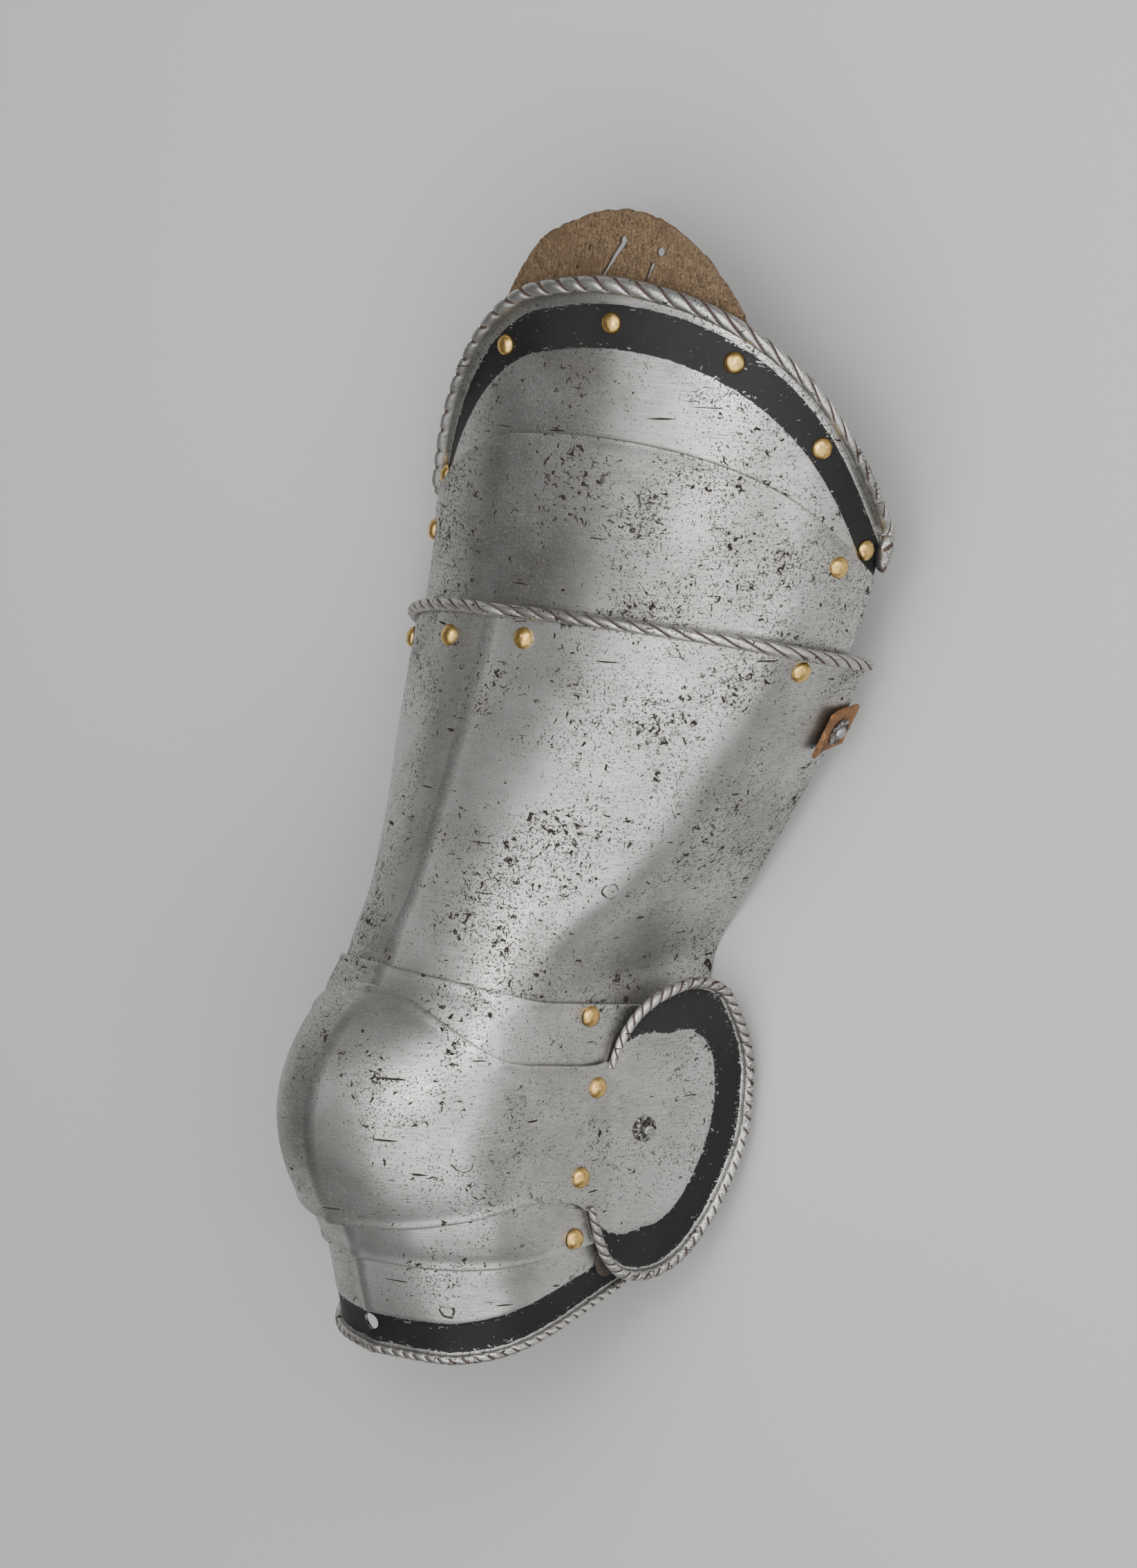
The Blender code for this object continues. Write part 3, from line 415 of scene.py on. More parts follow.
def cop_edges():
    """The knee cop's top row, on the upper lame's drum, and its bottom row, off the lower lame's drum."""
    lame = upper_lame_grid()
    top = turned_row(lame[-1], COP_PIVOT, edge_turns(COP_TOP_TURNS, COP_TOP_SHARPNESS))
    top = side_line(grown_row(top, COP_PIVOT, STEP), COP_TOP_ENDS, KNEE_SHARES)
    ends = {side: (LOWER_PIVOT[0], -20.0) for side in (-1, 1)}
    drum = drum_row(LOWER_PIVOT, 0.0, LOWER_DRUM, LOWER_FLAT, 2 * STEP, ends, KNEE_SHARES)
    reach, _ = about_pivot(drum, LOWER_PIVOT)
    reach = reach + COP_STAND_OFF * round_shares() ** 2
    bottom = turned_row_at(drum, LOWER_PIVOT, reach, edge_turns(COP_BOTTOM_TURNS, 1.0))
    return side_line(bottom, COP_BOTTOM_ENDS, KNEE_SHARES), top


# The wing's outline from its root over the top, as shares of its height: forward place and height
WING_HEIGHT = 131.0
WING_FLARE = 15.0
WING_ROOT = -12.0
WING_TOP_LINE = ((-0.10, 0.205), (-0.15, 0.30), (-0.22, 0.38), (-0.33, 0.435), (-0.45, 0.452),
                 (-0.545, 0.41), (-0.60, 0.31), (-0.64, 0.19), (-0.65, 0.10))
WING_BOTTOM_LINE = ((0.00, -0.26), (-0.03, -0.36), (-0.075, -0.46), (-0.15, -0.53), (-0.25, -0.55),
                    (-0.36, -0.515), (-0.47, -0.41), (-0.56, -0.27), (-0.62, -0.13), (-0.635, -0.07))


def outline_point(line, way):
    """A point of the wing's outline, its height and forward place, at a share of its way round."""
    places = [0.0]
    for first, second in zip(line, line[1:]):
        places.append(places[-1] + math.dist(first, second))
    places = np.array(places) / places[-1]
    forward = through(places, [point[0] for point in line], way)
    height = through(places, [point[1] for point in line], way)
    return (height * WING_HEIGHT, forward * WING_HEIGHT)


WING_COLUMNS = 70


def knee_cop_grid(rows):
    """The knee cop from its inner end over the point to the wing's rear edge."""
    bottom, top = cop_edges()
    past = [max(0.0, abs(place) / KNEE_SHARES[1 if place > 0 else -1] - 1) for place in side_shares()]
    bulge = blend(COP_BULGE[1], COP_BULGE[0], round_shares() ** 1.3) * (1 - np.minimum(past, 1.0))
    wing = [
        (outline_point(WING_BOTTOM_LINE, way), outline_point(WING_TOP_LINE, way))
        for way in np.linspace(0, 1, WING_COLUMNS + 1)[1:]
    ]
    line = (top - bottom)[:, 1:]
    square = np.stack([-line[:, 1], line[:, 0]], 1)
    square /= np.linalg.norm(square, axis=1, keepdims=True)
    grid = []
    for share in np.linspace(0, 1, rows):
        chord = blend(bottom, top, share)
        chord[:, 1:] += square * (4 * share * (1 - share) * bulge)[:, None]
        row = [tuple(point) for point in chord]
        for low, high in wing:
            row.append(wing_point(*(blend(low[k], high[k], share) for k in (0, 1))))
        grid.append(row)
    return np.array(grid)


def flare(z):
    """How far the wing stands out from the knee's side at this forward place."""
    back = max(0.0, WING_ROOT - z)
    return math.tan(math.radians(WING_FLARE)) * back * back / (back + 6.0)


def wing_point(y, z):
    return (KNEE_HALF_WIDTH[1] + 2 * STEP + flare(z), y, z)


def wing_normal(z):
    """A vector square to the wing at this forward place, not of unit length."""
    return (1.0, 0.0, flare(z - 0.5) - flare(z + 0.5))


LOWER_TOP_ENDS = {-1: (-10.0, -16.0), 1: (-9.0, -16.0)}
LOWER_BOTTOM_ENDS = {-1: (-52.0, -18.0), 1: (-52.0, -22.0)}


def lower_lame_grid():
    """The lame under the knee cop: a drum about its upper pivot down to a level bottom edge."""
    ends = {side: (LOWER_PIVOT[0], -18.0) for side in (-1, 1)}
    drum = drum_row(LOWER_PIVOT, 0.0, LOWER_DRUM, LOWER_FLAT, STEP, ends, KNEE_SHARES)
    reach, _ = about_pivot(drum, LOWER_PIVOT)
    low_turns = np.arcsin(np.clip((LOWER_EDGE_HEIGHT - LOWER_PIVOT[0]) / reach.clip(1), -0.93, 0))
    rows = []
    for share in np.linspace(0, 1, 6):
        turns = blend(low_turns, math.radians(LOWER_TOP_TURN), share)
        row = turned_row_at(drum, LOWER_PIVOT, reach, turns)
        ends = {side: tuple(blend(LOWER_BOTTOM_ENDS[side][k], LOWER_TOP_ENDS[side][k], share) for k in (0, 1))
                for side in (-1, 1)}
        rows.append(side_line(row, ends, KNEE_SHARES))
    return np.array(rows)


SHIN_LAP = 9.5
SHIN_DRUM_DEPTH = 15.0
SHIN_TOP_BACK = {-1: -18.0, 1: -24.0}
SHIN_LOW_BACK = {-1: -22.0, 1: -34.0}
SHIN_RIM_HEIGHT = -98.0
SHIN_RIM_RISE = 0.23
SHIN_RIM_FRONT = 62.5
SHIN_TAPER = 0.97
SHIN_FRONT_TAPER = 0.88


def shin_grid():
    """The bottom plate: a drum under the lower lame's edge, then nearly straight down to the rim."""
    places = side_shares()
    drum = grown_row(lower_lame_grid()[0], SHIN_PIVOT, -STEP)
    reach, _ = about_pivot(drum, SHIN_PIVOT)
    round_columns = [j for j, place in enumerate(places) if abs(place) <= KNEE_SHARES[1 if place > 0 else -1]]
    rows = []
    for share in np.linspace(0, 1, 5):
        drop = blend(-SHIN_DRUM_DEPTH, SHIN_LAP, share)
        ahead = SHIN_PIVOT[1] + np.sqrt((reach ** 2 - drop ** 2).clip(0))
        on_arc = ((reach - 12.0) / 20.0).clip(0, 1)
        z = blend(drum[:, 2], ahead, on_arc)
        for side in (-1, 1):
            corner = round_columns[0] if side < 0 else round_columns[-1]
            end = blend(SHIN_LOW_BACK[side], SHIN_TOP_BACK[side], share)
            last = abs(places[corner])
            for j, place in enumerate(places):
                if place * side > last:
                    z[j] = blend(z[corner], end, (abs(place) - last) / (1 - last))
        rows.append(drum_points(drum, reach, z, SHIN_PIVOT[0] + drop, round_columns))
    rim = rows[0].copy()
    back = (SHIN_RIM_FRONT - rim[:, 2]).clip(0)
    rim[:, 0] *= SHIN_TAPER
    rim[:, 1] = SHIN_RIM_HEIGHT + SHIN_RIM_RISE * back
    rim[:, 2] = SHIN_PIVOT[1] + (rim[:, 2] - SHIN_PIVOT[1]) * SHIN_FRONT_TAPER
    return np.array([rim, blend(rim, rows[0], 0.5)] + rows)


def drum_points(drum, reach, z, height, round_columns):
    """Points of the bottom plate's drum at these forward places: x follows from the reach."""
    at = np.hypot(z - SHIN_PIVOT[1], height - SHIN_PIVOT[0])
    middle = len(z) // 2
    x = np.empty(len(z))
    for side in (-1, 1):
        half = [j for j in round_columns if (j - middle) * side >= 0]
        half.sort(key=lambda j: reach[j])
        mine = np.arange(len(z))[:middle + 1] if side < 0 else np.arange(len(z))[middle:]
        ahead = np.where((z[mine] < SHIN_PIVOT[1]), 0.0, at[mine])
        x[mine] = np.interp(ahead, reach[half], drum[half, 0])
    return np.stack([x, np.full(len(z), height), z], 1)


# Rivets and fittings, at the CAD's places
HEAD_RADIUS = 4.8
HEAD_HEIGHT = 3.2
SHANK_RADIUS = 2.0
BURR_RADIUS = 3.4
BURR_HEIGHT = 0.9
DOME_POWER = 0.92
SEAT_REACH = 8.0
SPARE = 0.3
HEAD_GAP = 0.02
WASHER_GAP = 0.05
WING_WASHER_GAP = 0.03
ROSETTE_GAP = 0.1
LINING_RIVETS = ((-46.0, 13.0), (-10.0, 16.0), (16.5, 16.0), (45.5, 16.0), (72.0, 17.0), (93.0, 20.0))
HIP_PIVOTS = {"outer": (83.5, 10.0), "inner": (-49.0, 10.0)}
CUISSE_RIVETS = ((-52.0, 11.0), (-14.0, 13.0), (7.5, 11.0), (80.5, 8.5))
LEATHER_WALL = 2.6
LEATHER_DEPTH = 3 * THIGH_STEP
STRAP_PLACE = (103.0, 30.0)
STRAP_SIZE = (21.0, 25.0)
STRAP_WALL = 2.2
STRAP_OVERHANG = 12.0
STRAP_BOW = 1.5
STRAP_RIVET_HEAD = 3.2
STRAP_RIVET_HEIGHT = 2.2
WASHER_RADIUS = 6.6
WASHER_WALL = 1.2
WASHER_HOLE = 2.4
WING_PIN_PLACE = (-4.3, -31.5)
WING_WASHER_RADIUS = 5.8
PIN_RADIUS = 2.4
PIN_REACH = 5.0
ROSETTE_PLACE = (-64.0, -14.0)
ROSETTE_RADIUS = 6.5
SHIN_HOLE_RADIUS = 4.0
SHIN_HOLE_BELOW = 85.5
PIVOTS = {"lame": LAME_PIVOT, "cop": COP_PIVOT, "lower": LOWER_PIVOT, "shin": SHIN_PIVOT}
PIVOT_LEVELS = {"lame": STEP, "cop": 2 * STEP, "lower": 2 * STEP, "shin": STEP}
PIVOT_BODIES = {"lame": "upper_lame", "cop": "knee_cop", "lower": "knee_cop", "shin": "lower_lame"}
PIVOT_PLATES = {
    "lame": ("upper_lame", "cuisse_plate"),
    "cop": ("knee_cop", "upper_lame"),
    "lower": ("knee_cop", "lower_lame"),
    "shin": ("lower_lame", "shin_plate"),
}
SIDES = {"outer": 1, "inner": -1}

# Black bands: how far below the edge they start and end, and their recess
HIP_BAND = (8.0, 27.0)
WING_BAND = (3.2, 17.5)
SHIN_BAND = (3.0, 17.5)
RECESS = 0.45
RECESS_SLOPE = 1.2

# The wing's band narrows to nothing within this way of its ends, and its inner line is rounded
WING_BAND_FULL = 42.0
WING_BAND_ROUNDING = 70

# The hip rope turns the plate's outer corner: the gap at the corner and how far down it ends
HIP_ROPE_CORNER = 3.0
HIP_ROPE_END = 17.0

# Surface of the hammered sheet: its dents, the rounds of softening, and its lips
DENT_SIZE = 24.0
DENT_DEPTH = 0.16
SOFTENING = 30
CRISP_SHARE = 0.3
LIP_RISE = 0.8
LIP_WIDTH = 2.6


def leg_to_row():
    """The leg frame's axes and origin in the row frame, from the lateral hinges."""
    joints = {joint["name"]: joint for joint in frame["record"]["behaviour"]["joints"]}
    across = np.array(joints["lame_hinge"]["axis"], float)
    high = np.array(joints["lame_hinge"]["pos_m"], float)
    low = np.array(joints["shin_hinge"]["pos_m"], float)
    rise, lead = LAME_PIVOT[0] - SHIN_PIVOT[0], LAME_PIVOT[1] - SHIN_PIVOT[1]
    length = math.hypot(rise, lead)
    along = (high - low) / np.linalg.norm(high - low)
    ahead = np.cross(across, along)
    up = (rise * along - lead * ahead) / length
    front = (lead * along + rise * ahead) / length
    axes = np.stack([across, up, front])
    return axes, high - MM * (LAME_PIVOT[0] * up + LAME_PIVOT[1] * front)


AXES, ORIGIN = leg_to_row()


def in_row(points):
    """Leg-frame millimetres to row-frame metres."""
    return np.asarray(points, float) * MM @ AXES + ORIGIN


def refined(grid, rows):
    """The same surface with more rows, evenly spaced on a smooth curve through the given ones."""
    gaps = np.linalg.norm(np.diff(grid, axis=0), axis=2).mean(axis=1)
    places = np.concatenate([[0.0], np.cumsum(gaps)])
    slopes = np.gradient(grid, places, axis=0)
    at = np.linspace(0, places[-1], rows)
    k = np.clip(np.searchsorted(places, at) - 1, 0, len(grid) - 2)
    span = (places[k + 1] - places[k])[:, None, None]
    share = (at - places[k])[:, None, None] / span
    rise = grid[k + 1] - grid[k]
    bend_in = slopes[k] * span - rise
    bend_out = rise - slopes[k + 1] * span
    return grid[k] + rise * share + share * (1 - share) * (bend_in * (1 - share) + bend_out * share)


def smooth_step(low, high, value):
    share = np.clip((value - low) / (high - low), 0, 1)
    return share * share * (3 - 2 * share)


def dented(grid, seed):
    """Shallow dents of the hammer, along the surface's normals."""
    normals = normals_of(grid)
    shift = Vector((seed * 37.0, seed * 11.0, seed * 5.0))
    depth = np.empty(grid.shape[:2])
    for i in range(grid.shape[0]):
        for j in range(grid.shape[1]):
            point = Vector(grid[i, j]) + shift
            depth[i, j] = noise.noise(point / DENT_SIZE) + 0.4 * noise.noise(point / (DENT_SIZE * 0.4))
    return grid + normals * (DENT_DEPTH * depth)[:, :, None]


def softened(grid):
    """Evens out each row on both sides of the ridge, so that round and flat parts meet with no crease."""
    even = grid.copy()
    from_ridge = np.abs(np.arange(grid.shape[1]) - SIDE_COLUMNS) / SIDE_COLUMNS
    share = smooth_step(CRISP_SHARE / 2, CRISP_SHARE, from_ridge)[None, :, None]
    for _ in range(SOFTENING):
        even[:, 1:-1] += 0.25 * (even[:, 2:] - 2 * even[:, 1:-1] + even[:, :-2])
    return grid + (even - grid) * share


def up_columns(grid):
    """How far each point lies from the lower edge, along its column."""
    steps = np.linalg.norm(np.diff(grid, axis=0), axis=2)
    return np.concatenate([np.zeros((1, grid.shape[1])), np.cumsum(steps, axis=0)])


def lipped(grid, low, high):
    """Raises a thin lip along the lower or the upper edge of a plate."""
    from_low = up_columns(grid)
    from_high = from_low[-1] - from_low
    rise = low * np.exp(-(from_low / LIP_WIDTH) ** 2) + high * np.exp(-(from_high / LIP_WIDTH) ** 2)
    return grid + normals_of(grid) * (LIP_RISE * rise)[:, :, None]


def sunk(grid, band):
    """Sets the black band a little below the bright steel. band is how far inside the band each point is."""
    depth = RECESS * smooth_step(-RECESS_SLOPE / 2, RECESS_SLOPE / 2, band)
    return grid - normals_of(grid) * depth[:, :, None]


def mesh_object(name, points, faces, material, values=None, sharp=35.0):
    """A smooth-shaded object from leg-frame points. values are point attributes by name."""
    mesh = bpy.data.meshes.new(name)
    mesh.from_pydata([tuple(point) for point in in_row(points)], [], faces)
    for key, column in (values or {}).items():
        attribute = mesh.attributes.new(key, "FLOAT", "POINT")
        attribute.data.foreach_set("value", np.asarray(column, np.float32))
    shape = bmesh.new()
    shape.from_mesh(mesh)
    bmesh.ops.recalc_face_normals(shape, faces=shape.faces)
    shape.to_mesh(mesh)
    shape.free()
    mesh.polygons.foreach_set("use_smooth", [True] * len(mesh.polygons))
    mesh.set_sharp_from_angle(angle=math.radians(sharp))
    mesh.materials.append(material)
    obj = bpy.data.objects.new(name, mesh)
    bpy.context.scene.collection.objects.link(obj)
    return obj


def placed(obj, body, slot_name, *nodes):
    """Makes the object ride on its body and stand for its CAD nodes. slot_name is not used."""
    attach(obj, body)
    if nodes:
        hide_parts(*nodes)
    return obj


def plate_loops(grid, wall):
    """The points and faces of a sheet under a grid, with rounded edges."""
    normals = normals_of(grid)
    loops = []
    for j in range(grid.shape[1]):
        outer, normal = grid[:, j], normals[:, j]
        inner = outer - normal * wall
        top = edge_arc(outer[-1], normal[-1], outer[-1] - outer[-2], wall)
        bottom = edge_arc(outer[0], normal[0], outer[0] - outer[1], wall)
        loops.append(list(outer[1:-1]) + top + list(inner[-2:0:-1]) + bottom[::-1])
    return loops_mesh(np.array(loops), len(grid) - 2, EDGE_STEPS)


def loop_values(values):
    """Point values in the order of plate_loops. The edges take the nearest row's value, the inside none."""
    rows = len(values)
    size = 2 * (rows - 2) + 2 * (EDGE_STEPS + 1)
    out = np.full((values.shape[1], size), NO_BAND)
    out[:, :rows - 2] = values[1:-1].T
    out[:, rows - 2:rows + EDGE_STEPS - 1] = values[-1][:, None]
    out[:, -(EDGE_STEPS + 1):] = values[0][:, None]
    return out.reshape(-1)


GRIDS = {}
NO_BAND = -9.0


def plate(name, grid, body, material, seed, band=None):
    """One fine plate with its edges rounded, on its body in place of its CAD node."""
    if band is None:
        band = np.full(grid.shape[:2], NO_BAND)
    else:
        grid = sunk(grid, band)
    GRIDS[name] = dented(grid, seed)
    points, faces = plate_loops(GRIDS[name], PLATE)
    obj = mesh_object(f"{name}_fine", points, faces, material, {"band": loop_values(band)})
    return placed(obj, body, "steel", name)


def fitting(node_name, shape, material, body, slot_name, sharp=35.0):
    """A fine piece, from its points and faces, on its body in place of its CAD node."""
    obj = mesh_object(f"{node_name}_fine", *shape, material, sharp=sharp)
    return placed(obj, body, slot_name, node_name)


def run_along(path):
    """How far each point of a path lies from its start, along it."""
    return np.concatenate([[0.0], np.cumsum(np.linalg.norm(np.diff(path, axis=0), axis=1))])


def even_places(path):
    """Places along a path, evenly spaced."""
    length = run_along(path)[-1]
    return np.linspace(0, length, max(3, int(length / ROPE_GAP)))


def read_at(path, vectors, places):
    """The vectors that go with a path's points, read at other places along it."""
    run = run_along(path)
    return np.stack([np.interp(places, run, vectors[:, k]) for k in range(3)], 1)


def unit(vectors):
    return vectors / np.linalg.norm(vectors, axis=1)[:, None]


# Roped edges: bead radius, pitch of the notches, and their slant as pitches over half a turn
ROPES = {
    "hip_rope": (4.0, 10.5, -1.2),
    "cuisse_rope": (3.0, 10.0, -1.7),
    "wing_rope": (2.6, 5.6, 1.0),
    "shin_rope": (2.3, 5.6, 1.0),
}
ROPE_GAP = 0.6
ROPE_SIDES = 22
ROPE_TAPER = 6.0
WING_ROPE_TAPER = 45.0
ROPE_FACES_TURN = math.radians(35)
NOTCH_WIDTH = 0.10
NOTCH_DEPTH = 0.28


def rope(name, body, path, normals, outward, taper=ROPE_TAPER):
    """A turned edge filed as a rope: slanted notches round a bead along the edge of a plate."""
    bead, pitch, way = ROPES[name]
    at = even_places(path)
    points = read_at(path, path, at)
    normal = unit(read_at(path, normals, at))
    out = unit(read_at(path, outward, at))
    out -= normal * (out * normal).sum(axis=1)[:, None]
    out = unit(out)
    turns = np.linspace(0, 2 * math.pi, ROPE_SIDES, endpoint=False)
    rings, grooves = [], []
    for point, n, o, place in zip(points, normal, out, at):
        end = min(place, at[-1] - place)
        full = bead * (0.55 + 0.45 * min(1.0, end / taper) ** 0.5)
        centre = point + n * (bead - PLATE)
        wobble = 0.12 * noise.noise(Vector((place / 9.0, bead, way)))
        for turn in turns:
            phase = (place / pitch + way * turn / math.pi + wobble) % 1.0
            cut = math.exp(-((phase - 0.5) / NOTCH_WIDTH) ** 2)
            lobe = 0.5 - 0.5 * math.cos(2 * math.pi * (phase - 0.5))
            facing = smooth_step(-0.75, 0.1, math.cos(turn - ROPE_FACES_TURN))
            radius = full * (0.97 + 0.05 * lobe * facing - NOTCH_DEPTH * cut * facing)
            radius += 0.05 * noise.noise(Vector((place / 2.5, turn * 2.0, bead)))
            rings.append(centre + radius * (math.cos(turn) * o + math.sin(turn) * n))
            # groove marks the notches; the steel material paints shade into them
            grooves.append(cut * facing)
    faces = tube_faces(len(points), ROPE_SIDES)
    obj = mesh_object(name, np.array(rings), faces, ROPE_STEEL, {"groove": grooves}, 60.0)
    return placed(obj, body, "steel")


def tube_faces(rings, sides):
    """Faces of a closed tube of rings, with both ends filled."""
    faces = []
    for k in range(rings - 1):
        for j in range(sides):
            after = (j + 1) % sides
            faces.append((k * sides + j, k * sides + after, (k + 1) * sides + after, (k + 1) * sides + j))
    faces.append(tuple(range(sides)))
    faces.append(tuple((rings - 1) * sides + j for j in range(sides)))
    return faces


def edge_rope(name, body, grid, top):
    """A rope along the top or the bottom edge of a plate's grid."""
    edge, inner = (-1, -2) if top else (0, 1)
    return rope(name, body, grid[edge], normals_of(grid)[edge], grid[edge] - grid[inner])


def round_corner(grid):
    """The top edge of a grid and on round its outer corner: the path, its normals and its outward ways."""
    normals = normals_of(grid)
    side = run_along(grid[::-1, -1])[1:]
    rows = [k + 2 for k, length in enumerate(side) if HIP_ROPE_CORNER < length < HIP_ROPE_END]
    back = grid[:, -1] - grid[:, -3]
    path = np.concatenate([grid[-1, :-1], [grid[-k, -1] for k in rows]])
    normal = np.concatenate([normals[-1, :-1], [normals[-k, -1] for k in rows]])
    outward = np.concatenate([(grid[-1] - grid[-2])[:-1], [back[-k] for k in rows]])
    places = even_places(path)
    even = read_at(path, path, places)
    ways = unit(read_at(path, unit(outward), places))
    for _ in range(SOFTENING):
        for line in (even, ways):
            line[1:-1] += 0.25 * (line[2:] - 2 * line[1:-1] + line[:-2])
    return even, unit(read_at(path, normal, places)), ways


# Materials

def new_material(name):
    material = bpy.data.materials.new(name)
    material.use_nodes = True
    tree = material.node_tree
    return material, tree, tree.nodes["Principled BSDF"]


def node(tree, kind, inputs=None, **settings):
    """A shader node. An input is a field or a socket to link, or a plain value."""
    made = tree.nodes.new(f"ShaderNode{kind}")
    for key, value in settings.items():
        setattr(made, key, value)
    for key, value in (inputs or {}).items():
        source = getattr(value, "socket", value)
        if isinstance(source, bpy.types.NodeSocket):
            tree.links.new(source, made.inputs[key])
        else:
            made.inputs[key].default_value = source
    return made


class Field:
    """A shader value that adds, multiplies and steps as a number does."""

    def __init__(self, tree, socket):
        self.tree = tree
        self.socket = socket

    def math(self, operation, *operands):
        made = node(self.tree, "Math", dict(enumerate(operands)), operation=operation)
        return Field(self.tree, made.outputs[0])

    def __add__(self, other):
        return self.math("ADD", self, other)

    def __sub__(self, other):
        return self.math("SUBTRACT", self, other)

    def __rsub__(self, other):
        return self.math("SUBTRACT", other, self)

    def __mul__(self, other):
        return self.math("MULTIPLY", self, other)

    def __abs__(self):
        return self.math("ABSOLUTE", self)

    def most(self, other):
        return self.math("MAXIMUM", self, other)

    def step(self, low, high):
        """0 below low, 1 above high and smooth between."""
        inputs = {"Value": self, "From Min": low, "From Max": high}
        made = node(self.tree, "MapRange", inputs, interpolation_type="SMOOTHSTEP")
        return Field(self.tree, made.outputs[0])


def noise_field(tree, vector, scale, detail=2.0, rough=0.5, distortion=0.0):
    inputs = {"Vector": vector, "Scale": scale, "Detail": detail, "Roughness": rough}
    made = node(tree, "TexNoise", inputs | {"Distortion": distortion})
    return Field(tree, made.outputs["Fac"])


def attribute(tree, name):
    return Field(tree, node(tree, "Attribute", attribute_name=name).outputs["Fac"])


def stretched(tree, vector, scale, turn=(0.0, 0.0, 0.0), place=(0.0, 0.0, 0.0)):
    inputs = {"Vector": vector, "Scale": scale, "Rotation": turn, "Location": place}
    return node(tree, "Mapping", inputs).outputs[0]


def colour_mix(tree, factor, first, second):
    return node(tree, "Mix", {0: factor, 6: first, 7: second}, data_type="RGBA").outputs[2]


def connect(tree, shader, relief, **sources):
    """Links the shader's inputs by name. relief is the bump's strength, distance and height."""
    strength, distance, height = relief
    bump = node(tree, "Bump", {"Strength": strength, "Distance": distance, "Height": height})
    tree.links.new(bump.outputs[0], shader.inputs["Normal"])
    for key, source in sources.items():
        tree.links.new(getattr(source, "socket", source), shader.inputs[key.replace("_", " ").title()])


STEEL = (0.56, 0.555, 0.535, 1)
STEEL_DULL = (0.30, 0.293, 0.275, 1)
PIT = (0.022, 0.018, 0.016, 1)
PAINT = (0.007, 0.007, 0.008, 1)
PAINT_WORN = (0.016, 0.015, 0.015, 1)
# dark brown painted shade for the rope's notch grooves
PAINTED_GROOVE_SHADE = (0.05, 0.028, 0.02, 1)
BRASS_BRIGHT = (0.74, 0.50, 0.17, 1)
BRASS_DULL = (0.47, 0.29, 0.10, 1)


def pit_field(tree, moved, patch, pitting):
    """Where the steel is pitted: specks, spots and flaws in drifts, and broken rings round a few cells."""
    fine = noise_field(tree, moved, 950.0, 2.0, 0.65, 0.6)
    mid = noise_field(tree, moved, 330.0, 3.0, 0.7, 0.8)
    large = noise_field(tree, moved, 120.0, 3.0, 0.65, 0.6)
    density = patch * 0.32 + (pitting - 0.16)
    specks = (fine + density).step(0.585, 0.635) * 0.8
    spots = (mid + density).step(0.63, 0.665)
    flaws = (density * 0.6 + large).step(0.70, 0.72)
    cells = node(tree, "TexVoronoi", {"Vector": moved, "Scale": 62.0, "Randomness": 1.0})
    warp = noise_field(tree, moved, 55.0, 2.0)
    ring = 1.0 - abs(warp * 1.1 + (Field(tree, cells.outputs["Distance"]) - 0.80)).step(0.010, 0.035)
    chosen = Field(tree, node(tree, "SeparateColor", {0: cells.outputs["Color"]}).outputs[0])
    rings = ring * chosen.step(0.97, 0.98) * large.step(0.40, 0.52)
    return specks.most(spots).most(flaws).most(rings)


def steel_material(name, place, brush_turn, pitting=0.0, banded=True):
    """Brushed, pitted steel, with painted shade in the rope's notch grooves, and the worn black paint of its
    band where the band attribute is above zero.
    """
    material, tree, shader = new_material(name)
    moved = stretched(tree, node(tree, "TexCoord").outputs["Object"], (1, 1, 1), place=place)

    def streaks(scale, tilt, *settings):
        return noise_field(tree, stretched(tree, moved, scale, (0, *tilt)), 1.0, *settings)

    brush = streaks((70, 2300, 260), (0, brush_turn), 3.0, 0.6)
    cross = streaks((160, 1500, 400), (0.2, brush_turn + 0.5), 2.0, 0.6)
    scratches = streaks((24, 520, 90), (0, brush_turn - 0.35), 1.0).step(0.745, 0.765)
    blotch = noise_field(tree, moved, 16.0, 5.0, 0.6)
    patch = noise_field(tree, moved, 26.0, 3.0, 0.55)
    pits = pit_field(tree, moved, patch, pitting).most(scratches)
    # painted shade: the rope's notch grooves are darkened to dark brown, made less metallic and made rougher
    groove_shade_mask = attribute(tree, "groove").step(0.15, 0.55) * 0.95

    tone = brush * 0.55 + blotch * 0.75
    colour = colour_mix(tree, tone.step(0.50, 0.85), STEEL, STEEL_DULL)
    colour = colour_mix(tree, pits, colour, PIT)
    # paints the shade of the rope's notch grooves into the colour
    colour = colour_mix(tree, groove_shade_mask, colour, PAINTED_GROOVE_SHADE)
    rough = pits * 0.45 + (brush * 0.26 + 0.27) + groove_shade_mask * 0.35
    metal = 1.0 - pits.most(groove_shade_mask) * 0.95
    height = cross * 0.05 + (brush * 0.16 - pits * 0.16)
    if banded:
        edge = noise_field(tree, moved, 240.0, 3.0) * 1.4 + attribute(tree, "band")
        flecks = streaks((260, 700, 500), (0, 0.4), 4.0, 0.65, 0.7)
        wear = (1.0 - edge.step(0.9, 4.5)) * 0.09 + (patch * 0.10 + flecks)
        band = edge.step(0.55, 0.85) * (1.0 - wear.step(0.735, 0.75))
        paint = colour_mix(tree, blotch.step(0.4, 0.7), PAINT, PAINT_WORN)
        colour = colour_mix(tree, band, colour, paint)
        rough = node(tree, "Mix", {0: band, 2: rough, 3: blotch * 0.2 + 0.46}).outputs[0]
        metal = metal * (1.0 - band)
        height = height - band * 0.35
    connect(tree, shader, (0.4, 0.0005, height), base_color=colour, roughness=rough, metallic=metal)
    shader.inputs["Specular IOR Level"].default_value = 0.3
    return material


